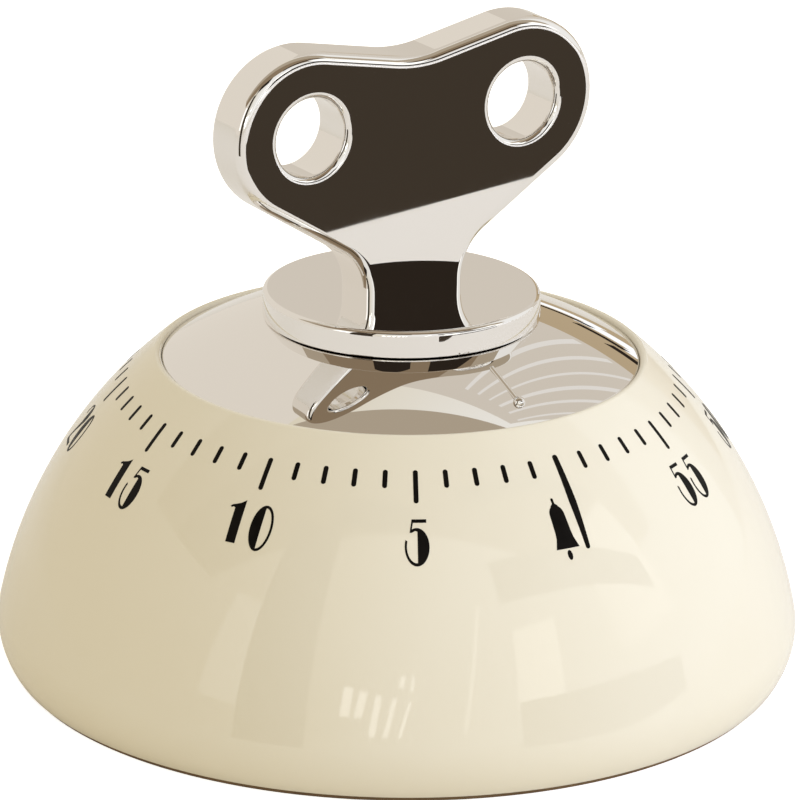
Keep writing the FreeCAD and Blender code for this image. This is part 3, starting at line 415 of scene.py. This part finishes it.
def numeral_five():
    bowl = ellipse((1.2, 1.98), 1.26, 1.98, 97, -90, 24)
    tail = ellipse((1.2, 1.98), 1.22, 1.98, -90, -202, 16)[1:]
    tail_in = ellipse((1.2, 2.0), 1.0, 1.68, -200, -90, 14)
    flag = [(0.72, 4.86), (2.18, 4.86), (2.18, 4.5), (0.84, 4.5), (0.72, 3.82)]
    inner = [(1.28, 0.36), (1.28, 3.58), (1.05, 3.66), (0.72, 3.46), (0.5, 3.46)]
    return [flag + bowl + tail + tail_in + inner], 2.46


def numeral_two():
    hook = ellipse((1.15, 3.72), 1.15, 1.28, 190, 90, 12)
    bowl = ellipse((1.15, 3.72), 1.12, 1.28, 90, -35, 16)[1:]
    hook_in = ellipse((1.15, 3.72), 0.97, 1.06, 90, 190, 12)
    foot = [(0.42, 0.42), (2.3, 0.42), (2.3, 0), (0, 0), (0, 0.25), (1.15, 2.72)]
    return [hook + bowl + foot + hook_in], 2.3


def numeral_three():
    upper = ellipse((1.1, 3.85), 1.0, 1.15, 170, 90, 10) + ellipse((1.1, 3.85), 0.98, 1.15, 90, -62, 14)[1:]
    lower = ellipse((1.1, 1.4), 1.2, 1.4, 58, -90, 16) + ellipse((1.1, 1.4), 1.1, 1.4, -90, -190, 12)[1:]
    lower_in = ellipse((1.1, 1.4), 0.92, 1.18, -190, -90, 12)
    upper_in = ellipse((1.1, 3.85), 0.82, 0.93, 90, 170, 10)
    waist = [(1.1, 2.5), (0.72, 2.6), (0.72, 2.8), (1.1, 2.9)]
    return [upper + lower + lower_in + waist + upper_in], 2.3


def numeral_four():
    outer = [(1.2, 0), (2.16, 0), (2.16, 1.2), (2.55, 1.2), (2.55, 1.43), (2.16, 1.43), (2.16, 5.0),
             (1.85, 5.0), (0, 1.43), (0, 1.2), (1.2, 1.2)]
    return [outer, [(1.2, 1.43), (0.3, 1.43), (1.2, 3.17)]], 2.55


NUMERALS = {"0": numeral_zero, "1": numeral_one, "2": numeral_two, "3": numeral_three,
            "4": numeral_four, "5": numeral_five}


def scale_marks():
    """The minute marks from 1 to 59, longer at every fifth."""
    shells = []
    half = TICK_W / 2
    for minute in range(1, 60):
        end = MAJOR_END if minute % 5 == 0 else TICK_END
        shells.append(ink([bar_loop(half, half, half, TICK_TOP - end)], math.radians(6 * minute), end))
    return merged("minute_marks", shells)


def zero_mark():
    """The long tapered bar at zero."""
    bar = bar_loop(*ZERO_HALVES, ZERO_TOP - ZERO_END)
    return merged("zero_mark", [ink([bar], 0.0, ZERO_END)])


def numerals():
    """The numbers 5 to 55, each centred under its mark."""
    shells = []
    for minute in range(5, 60, 5):
        glyphs = [NUMERALS[digit]() for digit in str(minute)]
        width = sum(glyph[1] for glyph in glyphs) + NUMERAL_GAP * (len(glyphs) - 1)
        x = -width / 2
        foot = NUMERAL_FOOT + PAIR_RISE * (len(glyphs) - 1)
        for loops, advance in glyphs:
            placed = [[(px + x, py) for px, py in loop] for loop in loops]
            shells.append(ink(placed, math.radians(6 * minute), foot))
            x += advance + NUMERAL_GAP
    return merged("numerals", shells)


def bell_mark():
    """Plain bell beside the zero bar: a body, a finial and a clapper."""
    right = [(0.09, 5.82), (0.14, 5.7), (0.13, 5.25), (0.38, 5.02)]
    right += ellipse((0.0, 4.0), 0.82, 1.05, 60, 0, 6)
    right += [(0.9, 2.1), (0.98, 1.5), (1.32, 0.45)]
    body = right + [(-x, y) for x, y in reversed(right)]
    clapper = ellipse((0, -0.25), 0.27, 0.52, 0, 360, 16)[:-1]
    shells = []
    for loop in (body, clapper):
        shells.append(ink([[(x + BELL_X, y) for x, y in loop]], 0.0, NUMERAL_FOOT))
    return merged("bell_mark", shells)


# ================================================================ knob
def crown_centre_z():
    """Height of the centre of the plate's crown."""
    return COLLAR_BOTTOM - math.sqrt(PLATE_CROWN_R ** 2 - PLATE_LAND_R ** 2)


def plate_z(radius):
    """Height of the dial plate's top at a radius."""
    return crown_centre_z() + math.sqrt(PLATE_CROWN_R ** 2 - radius ** 2)


def plate_profile():
    """The dial plate: its crowned top, rounded rim, skirt, underside and hub."""
    crown = (0, crown_centre_z())
    rim_r = PLATE_R - PLATE_EDGE
    reach = PLATE_CROWN_R - PLATE_EDGE
    edge_turn = math.acos(rim_r / reach)
    edge = (rim_r, crown[1] + reach * math.sin(edge_turn))
    land_turn = math.acos(PLATE_LAND_R / PLATE_CROWN_R)
    inner_r = PLATE_CROWN_R - PLATE_T
    skirt_r = PLATE_R - PLATE_T
    skirt_turn = math.acos(skirt_r / inner_r)
    skirt_top = (skirt_r, crown[1] + inner_r * math.sin(skirt_turn))
    hub_turn = math.acos(PLATE_LAND_R / inner_r)
    hub_top = (PLATE_LAND_R, crown[1] + inner_r * math.sin(hub_turn))
    return [line((PLATE_R, PLATE_SKIRT_Z), (PLATE_R, edge[1])),
            arc(edge, PLATE_EDGE, 0, edge_turn, 8),
            arc(crown, PLATE_CROWN_R, edge_turn, land_turn, 40),
            line((PLATE_LAND_R, COLLAR_BOTTOM), (BORE_R, COLLAR_BOTTOM)),
            line((BORE_R, COLLAR_BOTTOM), (BORE_R, PLATE_BOSS_Z)),
            line((BORE_R, PLATE_BOSS_Z), (PLATE_BOSS_R, PLATE_BOSS_Z)),
            line((PLATE_BOSS_R, PLATE_BOSS_Z), (PLATE_BOSS_R, hub_top[1])),
            line((PLATE_BOSS_R, hub_top[1]), hub_top),
            arc(crown, inner_r, hub_turn, skirt_turn, 24, hollow=True),
            line(skirt_top, (skirt_r, PLATE_SKIRT_Z)),
            line((skirt_r, PLATE_SKIRT_Z), (PLATE_R, PLATE_SKIRT_Z))]


def capsule(start, end, radius):
    """Rod with round ends between two points."""
    span = Vector(end) - Vector(start)
    shell = lathe([arc((0, 0), radius, -QUARTER, 0, 8),
                   line((radius, 0), (radius, span.length)),
                   arc((0, span.length), radius, 0, QUARTER, 8)], ROD_SEGMENTS)
    return turned(shell, Matrix.Translation(start) @ span.to_track_quat("Z", "Y").to_matrix().to_4x4())


def pointer_shells():
    """Raised line along the plate's crown, with a bead at its outer end."""
    inner = (0, -POINTER_IN_R, plate_z(POINTER_IN_R))
    outer = (0, -POINTER_BEAD_R, plate_z(POINTER_BEAD_R))
    bead = lathe([arc((0, 0), POINTER_BEAD_D / 2, -QUARTER, QUARTER, 20)], BEAD_SEGMENTS)
    return [capsule(inner, outer, POINTER_W / 2), turned(bead, Matrix.Translation(outer))]


def collar_profile():
    """The collar: a thick disc with rounded edges and the arbor's bore."""
    edge, foot_edge = COLLAR_ROUND, COLLAR_FOOT_ROUND
    round_r, foot_r = COLLAR_R - edge, COLLAR_R - foot_edge
    return [line((BORE_R, COLLAR_BOTTOM), (foot_r, COLLAR_BOTTOM)),
            arc((foot_r, COLLAR_BOTTOM + foot_edge), foot_edge, -QUARTER, 0, 6),
            line((COLLAR_R, COLLAR_BOTTOM + foot_edge), (COLLAR_R, COLLAR_TOP - edge)),
            arc((round_r, COLLAR_TOP - edge), edge, 0, QUARTER, 10),
            line((round_r, COLLAR_TOP), (BORE_R, COLLAR_TOP)),
            line((BORE_R, COLLAR_TOP), (BORE_R, COLLAR_BOTTOM))]


def key_outline():
    """The key's outline in XZ from the right of its foot over both lobes, with outward normals."""
    lobe = arc((KEY_LOBE_X, KEY_LOBE_Z), KEY_LOBE_R, KEY_FLARE - QUARTER, QUARTER + KEY_TOP_SLOPE, 56)
    lower_x, lower_z = lobe[0][0]
    upper_x, upper_z = lobe[-1][0]
    back = (lower_x - KEY_NECK_HALF) / math.cos(KEY_FLARE)
    corner_z = lower_z - back * math.sin(KEY_FLARE)
    reach = KEY_NECK_BLEND_R * math.tan((QUARTER - KEY_FLARE) / 2)
    blend_centre = (KEY_NECK_HALF + KEY_NECK_BLEND_R, corner_z - reach)
    blend = arc(blend_centre, KEY_NECK_BLEND_R, math.pi, QUARTER + KEY_FLARE, 16, hollow=True)
    foot = ((KEY_NECK_HALF, COLLAR_TOP - KEY_SINK), (1, 0))
    valley_x = KEY_VALLEY_R * math.sin(KEY_TOP_SLOPE)
    valley_z = upper_z - (upper_x - valley_x) * math.tan(KEY_TOP_SLOPE)
    valley_centre = (0, valley_z + KEY_VALLEY_R * math.cos(KEY_TOP_SLOPE))
    valley = arc(valley_centre, KEY_VALLEY_R, KEY_TOP_SLOPE - QUARTER, -QUARTER, 8, hollow=True)
    half = [foot] + blend + lobe + valley
    mirrored = [((-x, z), (-nx, nz)) for (x, z), (nx, nz) in reversed(half[:-1])]
    return half + mirrored


def key_shells():
    """The key: its rounded edge all round, two flat faces, two finger holes and the closed foot."""
    half = KEY_T / 2
    outline = key_outline()
    sections = edge_sections(half, KEY_EDGE, 10)
    hole_sections = edge_sections(half, KEY_HOLE_EDGE, 8)
    shells = [strip(outline, sections, closed=False)]
    border = [(x - nx * KEY_EDGE, z - nz * KEY_EDGE) for (x, z), (nx, nz) in outline]
    loops = [border]
    for sign in (-1, 1):
        ring = arc((sign * KEY_LOBE_X, KEY_LOBE_Z), KEY_HOLE_R, 0, TAU, 96, hollow=True)[:-1]
        shells.append(strip(ring, hole_sections, closed=True))
        loops.append([(x - nx * KEY_HOLE_EDGE, z - nz * KEY_HOLE_EDGE) for (x, z), (nx, nz) in ring])
    shells += [flat_face(loops, -half), flat_face(loops, half)]
    foot_z = COLLAR_TOP - KEY_SINK
    right = [(KEY_NECK_HALF - inset, y, foot_z) for y, inset, _ in sections]
    foot = right + [(-x, y, z) for x, y, z in reversed(right)]
    shells.append(facing(foot, [list(range(len(foot)))], [(0, 0, -1)] * len(foot)))
    return shells


def foot_profile():
    """The ring that the timer stands on, with the bead that locates it in the base."""
    bead_in, bead_out, bead_top = FOOT_BEAD
    edge = FOOT_EDGE
    outer = FOOT_OUTER_R - edge
    return [line((FOOT_INNER_R, 0), (outer, 0)),
            arc((outer, edge), edge, -QUARTER, 0, 4),
            line((FOOT_OUTER_R, edge), (FOOT_OUTER_R, FOOT_H - edge)),
            arc((outer, FOOT_H - edge), edge, 0, QUARTER, 4),
            line((outer, FOOT_H), (bead_out, FOOT_H)),
            line((bead_out, FOOT_H), (bead_out, bead_top)),
            line((bead_out, bead_top), (bead_in, bead_top)),
            line((bead_in, bead_top), (bead_in, FOOT_H)),
            line((bead_in, FOOT_H), (FOOT_INNER_R, FOOT_H)),
            line((FOOT_INNER_R, FOOT_H), (FOOT_INNER_R, 0))]


# ================================================================ materials
def material(name, metallic=0.0):
    """Principled material, to be given its colour, roughness and detail by the functions below."""
    made = bpy.data.materials.new(name)
    made.use_nodes = True
    shader_of(made).inputs["Metallic"].default_value = metallic
    return made


def shader_of(made):
    """The material's shader node."""
    return made.node_tree.nodes["Principled BSDF"]


def even_colour(made, colour):
    """The same base colour all over."""
    shader_of(made).inputs["Base Color"].default_value = (*colour, 1)


NOISE_SPAN = (0.3, 0.7)         # nearly all of a noise's values lie between these


def noise(made, scale, detail=3.0, stretch=(1, 1, 1)):
    """Noise in the piece's own coordinates; its scale is in features per metre."""
    nodes, links = made.node_tree.nodes, made.node_tree.links
    place = nodes.new("ShaderNodeTexCoord")
    mapping = nodes.new("ShaderNodeMapping")
    mapping.inputs["Scale"].default_value = stretch
    texture = nodes.new("ShaderNodeTexNoise")
    texture.inputs["Scale"].default_value = scale
    texture.inputs["Detail"].default_value = detail
    links.new(place.outputs["Object"], mapping.inputs["Vector"])
    links.new(mapping.outputs["Vector"], texture.inputs["Vector"])
    return texture.outputs["Fac"]


def vary_colour(made, field, dark, light):
    """Base colour that drifts between two shades."""
    nodes, links = made.node_tree.nodes, made.node_tree.links
    ramp = nodes.new("ShaderNodeValToRGB")
    for stop, place, colour in zip(ramp.color_ramp.elements, NOISE_SPAN, (dark, light)):
        stop.position = place
        stop.color = (*colour, 1)
    links.new(field, ramp.inputs["Fac"])
    links.new(ramp.outputs["Color"], shader_of(made).inputs["Base Color"])


def vary_roughness(made, field, low, high):
    """Roughness that drifts between two values."""
    nodes, links = made.node_tree.nodes, made.node_tree.links
    spread = nodes.new("ShaderNodeMapRange")
    spread.inputs["From Min"].default_value, spread.inputs["From Max"].default_value = NOISE_SPAN
    spread.inputs["To Min"].default_value = low
    spread.inputs["To Max"].default_value = high
    links.new(field, spread.inputs["Value"])
    links.new(spread.outputs["Result"], shader_of(made).inputs["Roughness"])


def bump(made, field, height):
    """Fine relief of a given height in metres."""
    nodes, links = made.node_tree.nodes, made.node_tree.links
    relief = nodes.new("ShaderNodeBump")
    relief.inputs["Strength"].default_value = 1.0
    relief.inputs["Distance"].default_value = height
    links.new(field, relief.inputs["Height"])
    links.new(relief.outputs["Normal"], shader_of(made).inputs["Normal"])


def cream_plastic():
    """Glossy moulded cream plastic with a faint moulding ripple."""
    made = material("cream_plastic_look")
    vary_colour(made, noise(made, 22), (0.79, 0.733, 0.593), (0.81, 0.758, 0.63))
    vary_roughness(made, noise(made, 160), 0.035, 0.06)
    bump(made, noise(made, 650, 2), 0.000002)
    shader_of(made).inputs["Coat Weight"].default_value = 0.25
    shader_of(made).inputs["Coat Roughness"].default_value = 0.02
    return made


def printed_ink():
    """Pad-printed black ink, duller than the plastic."""
    made = material("black_ink")
    vary_colour(made, noise(made, 500), (0.004, 0.0035, 0.003), (0.008, 0.0065, 0.0055))
    vary_roughness(made, noise(made, 900), 0.28, 0.42)
    shader_of(made).inputs["Specular IOR Level"].default_value = 0.05
    return made


def chrome(name, tint):
    """Bright chrome plating with faint polishing haze."""
    made = material(name, metallic=1.0)
    even_colour(made, tint)
    vary_roughness(made, noise(made, 120, 5), 0.004, 0.02)
    bump(made, noise(made, 90, 1), 0.0000015)
    return made


def foot_rubber():
    """Soft brown ring with a matt grain."""
    made = material("foot_rubber_look")
    vary_colour(made, noise(made, 300), (0.14, 0.08, 0.033), (0.19, 0.115, 0.05))
    vary_roughness(made, noise(made, 700), 0.5, 0.7)
    bump(made, noise(made, 2500, 2), 0.00002)
    return made


def dark_plastic():
    """Spark-textured dark moulding."""
    made = material("dark_plastic_look")
    vary_colour(made, noise(made, 60), (0.04, 0.036, 0.032), (0.052, 0.047, 0.042))
    vary_roughness(made, noise(made, 400), 0.42, 0.58)
    bump(made, noise(made, 3000, 2), 0.00003)
    return made


def rolled_metal(name, dark, light, low, high):
    """Sheet or bar metal with fine lines along X."""
    made = material(name, metallic=1.0)
    vary_colour(made, noise(made, 200, 4), dark, light)
    vary_roughness(made, noise(made, 900, 4, (0.06, 1, 1)), low, high)
    bump(made, noise(made, 1500, 3, (0.04, 1, 1)), 0.000004)
    return made


def nylon():
    """Milky moulded nylon."""
    made = material("nylon_look")
    vary_colour(made, noise(made, 120), (0.74, 0.72, 0.65), (0.80, 0.78, 0.73))
    vary_roughness(made, noise(made, 600), 0.32, 0.45)
    bump(made, noise(made, 1800, 2), 0.00001)
    shader_of(made).inputs["Subsurface Weight"].default_value = 0.15
    shader_of(made).inputs["Subsurface Radius"].default_value = (0.002, 0.0018, 0.0015)
    return made


CREAM = cream_plastic()
INK = printed_ink()
CHROME = chrome("chrome_look", (0.90, 0.885, 0.865))
CHROME_PLATE = chrome("chrome_plate_look", (0.88, 0.865, 0.845))
RUBBER = foot_rubber()
DARK = dark_plastic()
STEEL = rolled_metal("steel_look", (0.50, 0.50, 0.50), (0.60, 0.60, 0.59), 0.18, 0.34)
SPRING_STEEL = rolled_metal("spring_steel_look", (0.22, 0.24, 0.30), (0.34, 0.36, 0.42), 0.2, 0.35)
BELL_STEEL = rolled_metal("bell_steel_look", (0.62, 0.61, 0.59), (0.70, 0.69, 0.67), 0.1, 0.2)
BRASS = rolled_metal("brass_look", (0.70, 0.50, 0.22), (0.80, 0.60, 0.30), 0.16, 0.3)
NYLON = nylon()
SLOT_LOOKS = {"cream_plastic": CREAM, "chrome_plate": CHROME_PLATE, "chrome": CHROME, "foot_rubber": RUBBER,
              "dark_plastic": DARK, "steel": STEEL, "spring_steel": SPRING_STEEL, "bell_steel": BELL_STEEL,
              "brass": BRASS, "nylon": NYLON}
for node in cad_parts.values():
    for slot in node.material_slots:
        slot.material = SLOT_LOOKS[slot.material.name.split(".")[0]]

# ================================================================ pieces
def finished(piece, look, slot, body, *replaced):
    """Gives a piece its material and body, and hides the CAD nodes that it stands for; its slot is not
    used.
    """
    piece.data.materials.append(look)
    if replaced:
        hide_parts(*replaced)
    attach(piece, body)


dome = merged("dome", [lathe(dome_profile(), ROUND_SEGMENTS)])
finished(dome, CREAM, "cream_plastic", "housing", "dome_shell")
foot_ring = merged("foot", [lathe(foot_profile(), FOOT_SEGMENTS)])
finished(foot_ring, RUBBER, "foot_rubber", "housing", "foot_ring")
for mark in (scale_marks(), zero_mark(), numerals(), bell_mark()):
    finished(mark, INK, "dark_plastic", "housing")
plate = merged("plate", [lathe(plate_profile(), ROUND_SEGMENTS)] + pointer_shells())
finished(plate, CHROME_PLATE, "chrome_plate", "knob", "dial_plate")
collar = merged("collar", [lathe(collar_profile(), ROUND_SEGMENTS)])
finished(collar, CHROME, "chrome", "knob", "collar_disc")
finished(merged("key_grip", key_shells()), CHROME, "chrome", "knob", "key")

# ================================================================ studio
FLOOR_HALF = 8000
PANE_AWAY = 1500                # usual distance of a pane from the timer's axis


def glow(name, colour, strength=1.0):
    """Plain emission."""
    made = bpy.data.materials.new(name)
    made.use_nodes = True
    nodes = made.node_tree.nodes
    nodes.clear()
    lamp = nodes.new("ShaderNodeEmission")
    lamp.inputs["Color"].default_value = (*colour, 1)
    lamp.inputs["Strength"].default_value = strength
    out = nodes.new("ShaderNodeOutputMaterial")
    made.node_tree.links.new(lamp.outputs["Emission"], out.inputs["Surface"])
    return made


def sheet(name, points, faces, look):
    """Stage piece from points in millimetres."""
    mesh = bpy.data.meshes.new(name)
    mesh.from_pydata([Vector(p) * MM for p in points], [], faces)
    mesh.materials.append(look)
    thing = bpy.data.objects.new(name, mesh)
    bpy.context.scene.collection.objects.link(thing)
    return thing


def seen_by(thing, camera=False, diffuse=False, glossy=False):
    """Shows a stage piece only to the kinds of rays that are named; it casts no shadow."""
    thing.visible_camera = camera
    thing.visible_diffuse = diffuse
    thing.visible_glossy = glossy
    thing.visible_shadow = False
    thing.visible_transmission = False
    thing.visible_volume_scatter = False


def paper(name, colour, emission):
    """Matt paper that also glows a little."""
    made = material(name)
    even_colour(made, colour)
    sockets = shader_of(made).inputs
    sockets["Roughness"].default_value = 0.9
    sockets["Specular IOR Level"].default_value = 0
    sockets["Emission Color"].default_value = (1, 1, 1, 1)
    sockets["Emission Strength"].default_value = emission
    return made


def floor(name, height, look):
    """Wide level sheet."""
    corners = [(-FLOOR_HALF, -FLOOR_HALF), (FLOOR_HALF, -FLOOR_HALF),
               (FLOOR_HALF, FLOOR_HALF), (-FLOOR_HALF, FLOOR_HALF)]
    return sheet(name, [(x, y, height) for x, y in corners], [(0, 1, 2, 3)], look)


# the camera sees a backdrop burnt out to white; the table that lights the timer and the one that it
# mirrors are greyer, and each lies a little lower than the foot
seen_by(floor("backdrop", -0.02, paper("backdrop_paper", (0.9, 0.89, 0.87), 0.8)), camera=True)
seen_by(floor("table", -0.06, paper("table_paper", (0.80, 0.76, 0.65), 0.05)), diffuse=True)
seen_by(floor("mirrored_table", -0.03, paper("mirrored_paper", (0.80, 0.78, 0.76), 0.05)), glossy=True)


def pane(name, look, turn, low, high, width, lean=0.0, away=PANE_AWAY):
    """Upright sheet around the timer that only shows in reflections.

    Its turn from the front, its lower and upper edge and its width are angles in degrees, seen from the
    timer; lean shifts its upper edge sideways.
    """
    points = []
    for side, height, shift in ((-1, low, 0), (1, low, 0), (1, high, lean), (-1, high, lean)):
        angle = math.radians(turn + shift + side * width / 2)
        z = away * math.tan(math.radians(height))
        points.append((away * math.sin(angle), -away * math.cos(angle), z))
    seen_by(sheet(name, points, [(0, 1, 2, 3)], look), glossy=True)


# the camera's stand: dark bands of a card in front of the timer, which the chrome mirrors; the pale gaps
# between them fall on the dome and on the key's rounded edges
CARD_FOOT = ((-8, -128), (69, -130), (109, -137), (165, -147))
STAND = glow("stand_look", (0.05, 0.038, 0.027))
DARKEST = glow("stand_top_look", (0.026, 0.019, 0.014))
STAND_AWAY = 160
for name, low, high, look in (("stand_low", 0, 25, STAND), ("stand_middle", 80, 112, DARKEST),
                              ("stand_top", 184, 222, DARKEST)):
    card_points = [(x, y, low) for x, y in CARD_FOOT] + [(x, y, high) for x, y in CARD_FOOT]
    count = len(CARD_FOOT)
    card_faces = [(k, k + 1, count + k + 1, count + k) for k in range(count - 1)]
    seen_by(sheet(name, card_points, card_faces, look), glossy=True)
pane("stand_left", STAND, -64, 0, 50, 18, away=STAND_AWAY)
pane("stand_boom", DARKEST, -42, 50, 58, 38, away=STAND_AWAY)

# a brown ceiling shows along the front of the dial plate, and its darker front part in the mirrored key
CEILING_Z = 1200
CEILING_HALF = 2500
CEILING_TURN = Matrix.Rotation(math.radians(-33.3), 4, "Z")
for name, shade, front, back in (("ceiling_front", (0.27, 0.20, 0.13), -900, -150),
                                 ("ceiling_back", (0.44, 0.37, 0.28), -150, 385)):
    corners = ((-CEILING_HALF, front), (CEILING_HALF, front), (CEILING_HALF, back), (-CEILING_HALF, back))
    ceiling = [CEILING_TURN @ Vector((x, y, CEILING_Z)) for x, y in corners]
    seen_by(sheet(name, ceiling, [(0, 1, 2, 3)], glow(name + "_look", shade)), glossy=True)

# windows in front show as small bright marks and broad pale patches in the dome
DAYLIGHT = glow("daylight", (1.0, 1.0, 0.97), 3.4)
SOFT_DAYLIGHT = glow("soft_daylight", (1.0, 0.99, 0.95), 1.9)
DIM_DAYLIGHT = glow("dim_daylight", (1.0, 0.99, 0.96), 1.35)
SLATS = 5
LONG_SLATS = 2                  # the first slats of the blind reach less far down
SLAT_TOPS = 2
for k in range(SLATS):
    slat_low = 8.3 if k < LONG_SLATS else 3.8
    pane(f"slat_{k}", DAYLIGHT, -47.4 + 3.8 * k, slat_low, 15.4 - 0.7 * k, 2.7 - 0.45 * k, 0.8 + 0.55 * k)
for k in range(SLAT_TOPS):
    pane(f"slat_top_{k}", DAYLIGHT, -31.8 + 3 * k, 16 - k, 18.6, 1.4 - 0.5 * k, 0.6)
pane("curtain_gap", SOFT_DAYLIGHT, -14.4, 4.2, 33.8, 1.2, 8.1)
pane("tall_window", SOFT_DAYLIGHT, 8, 8, 26, 14, 2)
pane("low_window", SOFT_DAYLIGHT, 8, 3, 5.5, 9)
pane("left_window", DIM_DAYLIGHT, -83, 6, 30, 14, 3)
pane("right_window", DIM_DAYLIGHT, 47, 12, 44, 22, -4)

# the far side of the room, seen in the back of the dial plate; what is wide stands farther away, so that
# it stays behind what is narrow
WALL = glow("wall_look", (0.67, 0.61, 0.53))
PALE_WALL = glow("pale_wall_look", (0.79, 0.73, 0.645))
TAN = glow("tan_look", (0.50, 0.39, 0.25))
CURTAIN = glow("curtain_look", (0.81, 0.78, 0.74))
FAR_WINDOW = glow("far_window_look", (1.1, 1.12, 1.15))
FAR_WINDOWS = 3
FOLDS = 6
pane("wall", WALL, 127.5, -2, 62, 51, away=2100)
pane("back_wall", PALE_WALL, 181, -2, 60, 58, away=2200)
pane("left_wall", PALE_WALL, -114, -2, 60, 80, away=2700)
pane("sideboard", TAN, 128, -3, 19, 28, away=1800)
for k in range(FAR_WINDOWS):
    pane(f"far_window_{k}", FAR_WINDOW, 137 - 5 * k, 3 + 1.3 * k, 5.5 + 2.2 * k, 5.6, away=1600)
    pane(f"far_rail_{k}", DARKEST, 136 - 4.6 * k, 6.2 + 2.6 * k, 7.4 + 3 * k, 4.8, away=1590)
for k in range(FOLDS):
    pane(f"curtain_{k}", CURTAIN, 106 + 4.4 * k, 21, 60, 0.7 + 0.25 * (k % 3), lean=-3, away=1650)

# the room's light is warm and dim behind the timer on the left, and white in front of it on the right
BRIGHT_DIRECTION = (0.65, -0.8, 0.25)
DIM_SIDE = (0.715, 0.63, 0.445)
BRIGHT_SIDE = (0.94, 0.935, 0.92)
world = bpy.data.worlds.new("studio")
world.use_nodes = True
world_nodes, world_links = world.node_tree.nodes, world.node_tree.links
direction = world_nodes.new("ShaderNodeTexCoord")
towards_light = world_nodes.new("ShaderNodeVectorMath")
towards_light.operation = "DOT_PRODUCT"
towards_light.inputs[1].default_value = BRIGHT_DIRECTION
blend = world_nodes.new("ShaderNodeMapRange")
blend.interpolation_type = "SMOOTHSTEP"
blend.inputs["From Min"].default_value = -0.7
blend.inputs["From Max"].default_value = 0.9
shades = world_nodes.new("ShaderNodeMix")
shades.data_type = "RGBA"
shades.inputs["A"].default_value = (*DIM_SIDE, 1)
shades.inputs["B"].default_value = (*BRIGHT_SIDE, 1)
world_links.new(direction.outputs["Generated"], towards_light.inputs[0])
world_links.new(towards_light.outputs["Value"], blend.inputs["Value"])
world_links.new(blend.outputs["Result"], shades.inputs["Factor"])
world_links.new(shades.outputs["Result"], world_nodes["Background"].inputs["Color"])
world_nodes["Background"].inputs["Strength"].default_value = 1.0
bpy.context.scene.world = world


# a soft cool light from the front right, which doesn't show in reflections; its place is in metres
KEY_LIGHT_AIM = Vector((0, 0, 0.03))
KEY_LIGHT_PLACE = Vector((0.6, -0.72, 0.42))
key_lamp = bpy.data.lights.new("key_light", "AREA")
key_lamp.shape = "RECTANGLE"
key_lamp.size = 0.6
key_lamp.size_y = 0.6
key_lamp.energy = 3.9
key_lamp.color = (0.87, 0.97, 1.24)
key_light = bpy.data.objects.new("key_light", key_lamp)
bpy.context.scene.collection.objects.link(key_light)
key_light.location = KEY_LIGHT_PLACE
key_light.rotation_euler = (KEY_LIGHT_AIM - KEY_LIGHT_PLACE).to_track_quat("-Z", "Y").to_euler()
key_light.visible_glossy = False

# ================================================================ camera
CAMERA_FLOOR_DISTANCE = 613.2
CAMERA_HEIGHT = 246.35
CAMERA_AZIMUTH = math.radians(-33.27)
CAMERA_PITCH = math.radians(19.585)
CAMERA_ROLL = 0.014185
SENSOR_WIDTH = 36
FOCAL_LENGTH = 280.5
lens = bpy.data.cameras.new("camera")
lens.sensor_width = SENSOR_WIDTH
lens.lens = FOCAL_LENGTH
lens.clip_start = 0.05
lens.clip_end = 50
camera = bpy.data.objects.new("camera", lens)
bpy.context.scene.collection.objects.link(camera)
towards = Vector((-math.sin(CAMERA_AZIMUTH) * math.cos(CAMERA_PITCH),
                  math.cos(CAMERA_AZIMUTH) * math.cos(CAMERA_PITCH), -math.sin(CAMERA_PITCH)))
level_right = Vector((math.cos(CAMERA_AZIMUTH), math.sin(CAMERA_AZIMUTH), 0))
level_up = level_right.cross(towards)
right = level_right * math.cos(CAMERA_ROLL) + level_up * math.sin(CAMERA_ROLL)
upward = level_up * math.cos(CAMERA_ROLL) - level_right * math.sin(CAMERA_ROLL)
place = Vector((math.sin(CAMERA_AZIMUTH) * CAMERA_FLOOR_DISTANCE,
                -math.cos(CAMERA_AZIMUTH) * CAMERA_FLOOR_DISTANCE, CAMERA_HEIGHT)) * MM
camera.matrix_world = Matrix.Translation(place) @ Matrix((right, upward, -towards)).transposed().to_4x4()
bpy.context.scene.camera = camera
bpy.context.scene.view_settings.view_transform = "Standard"
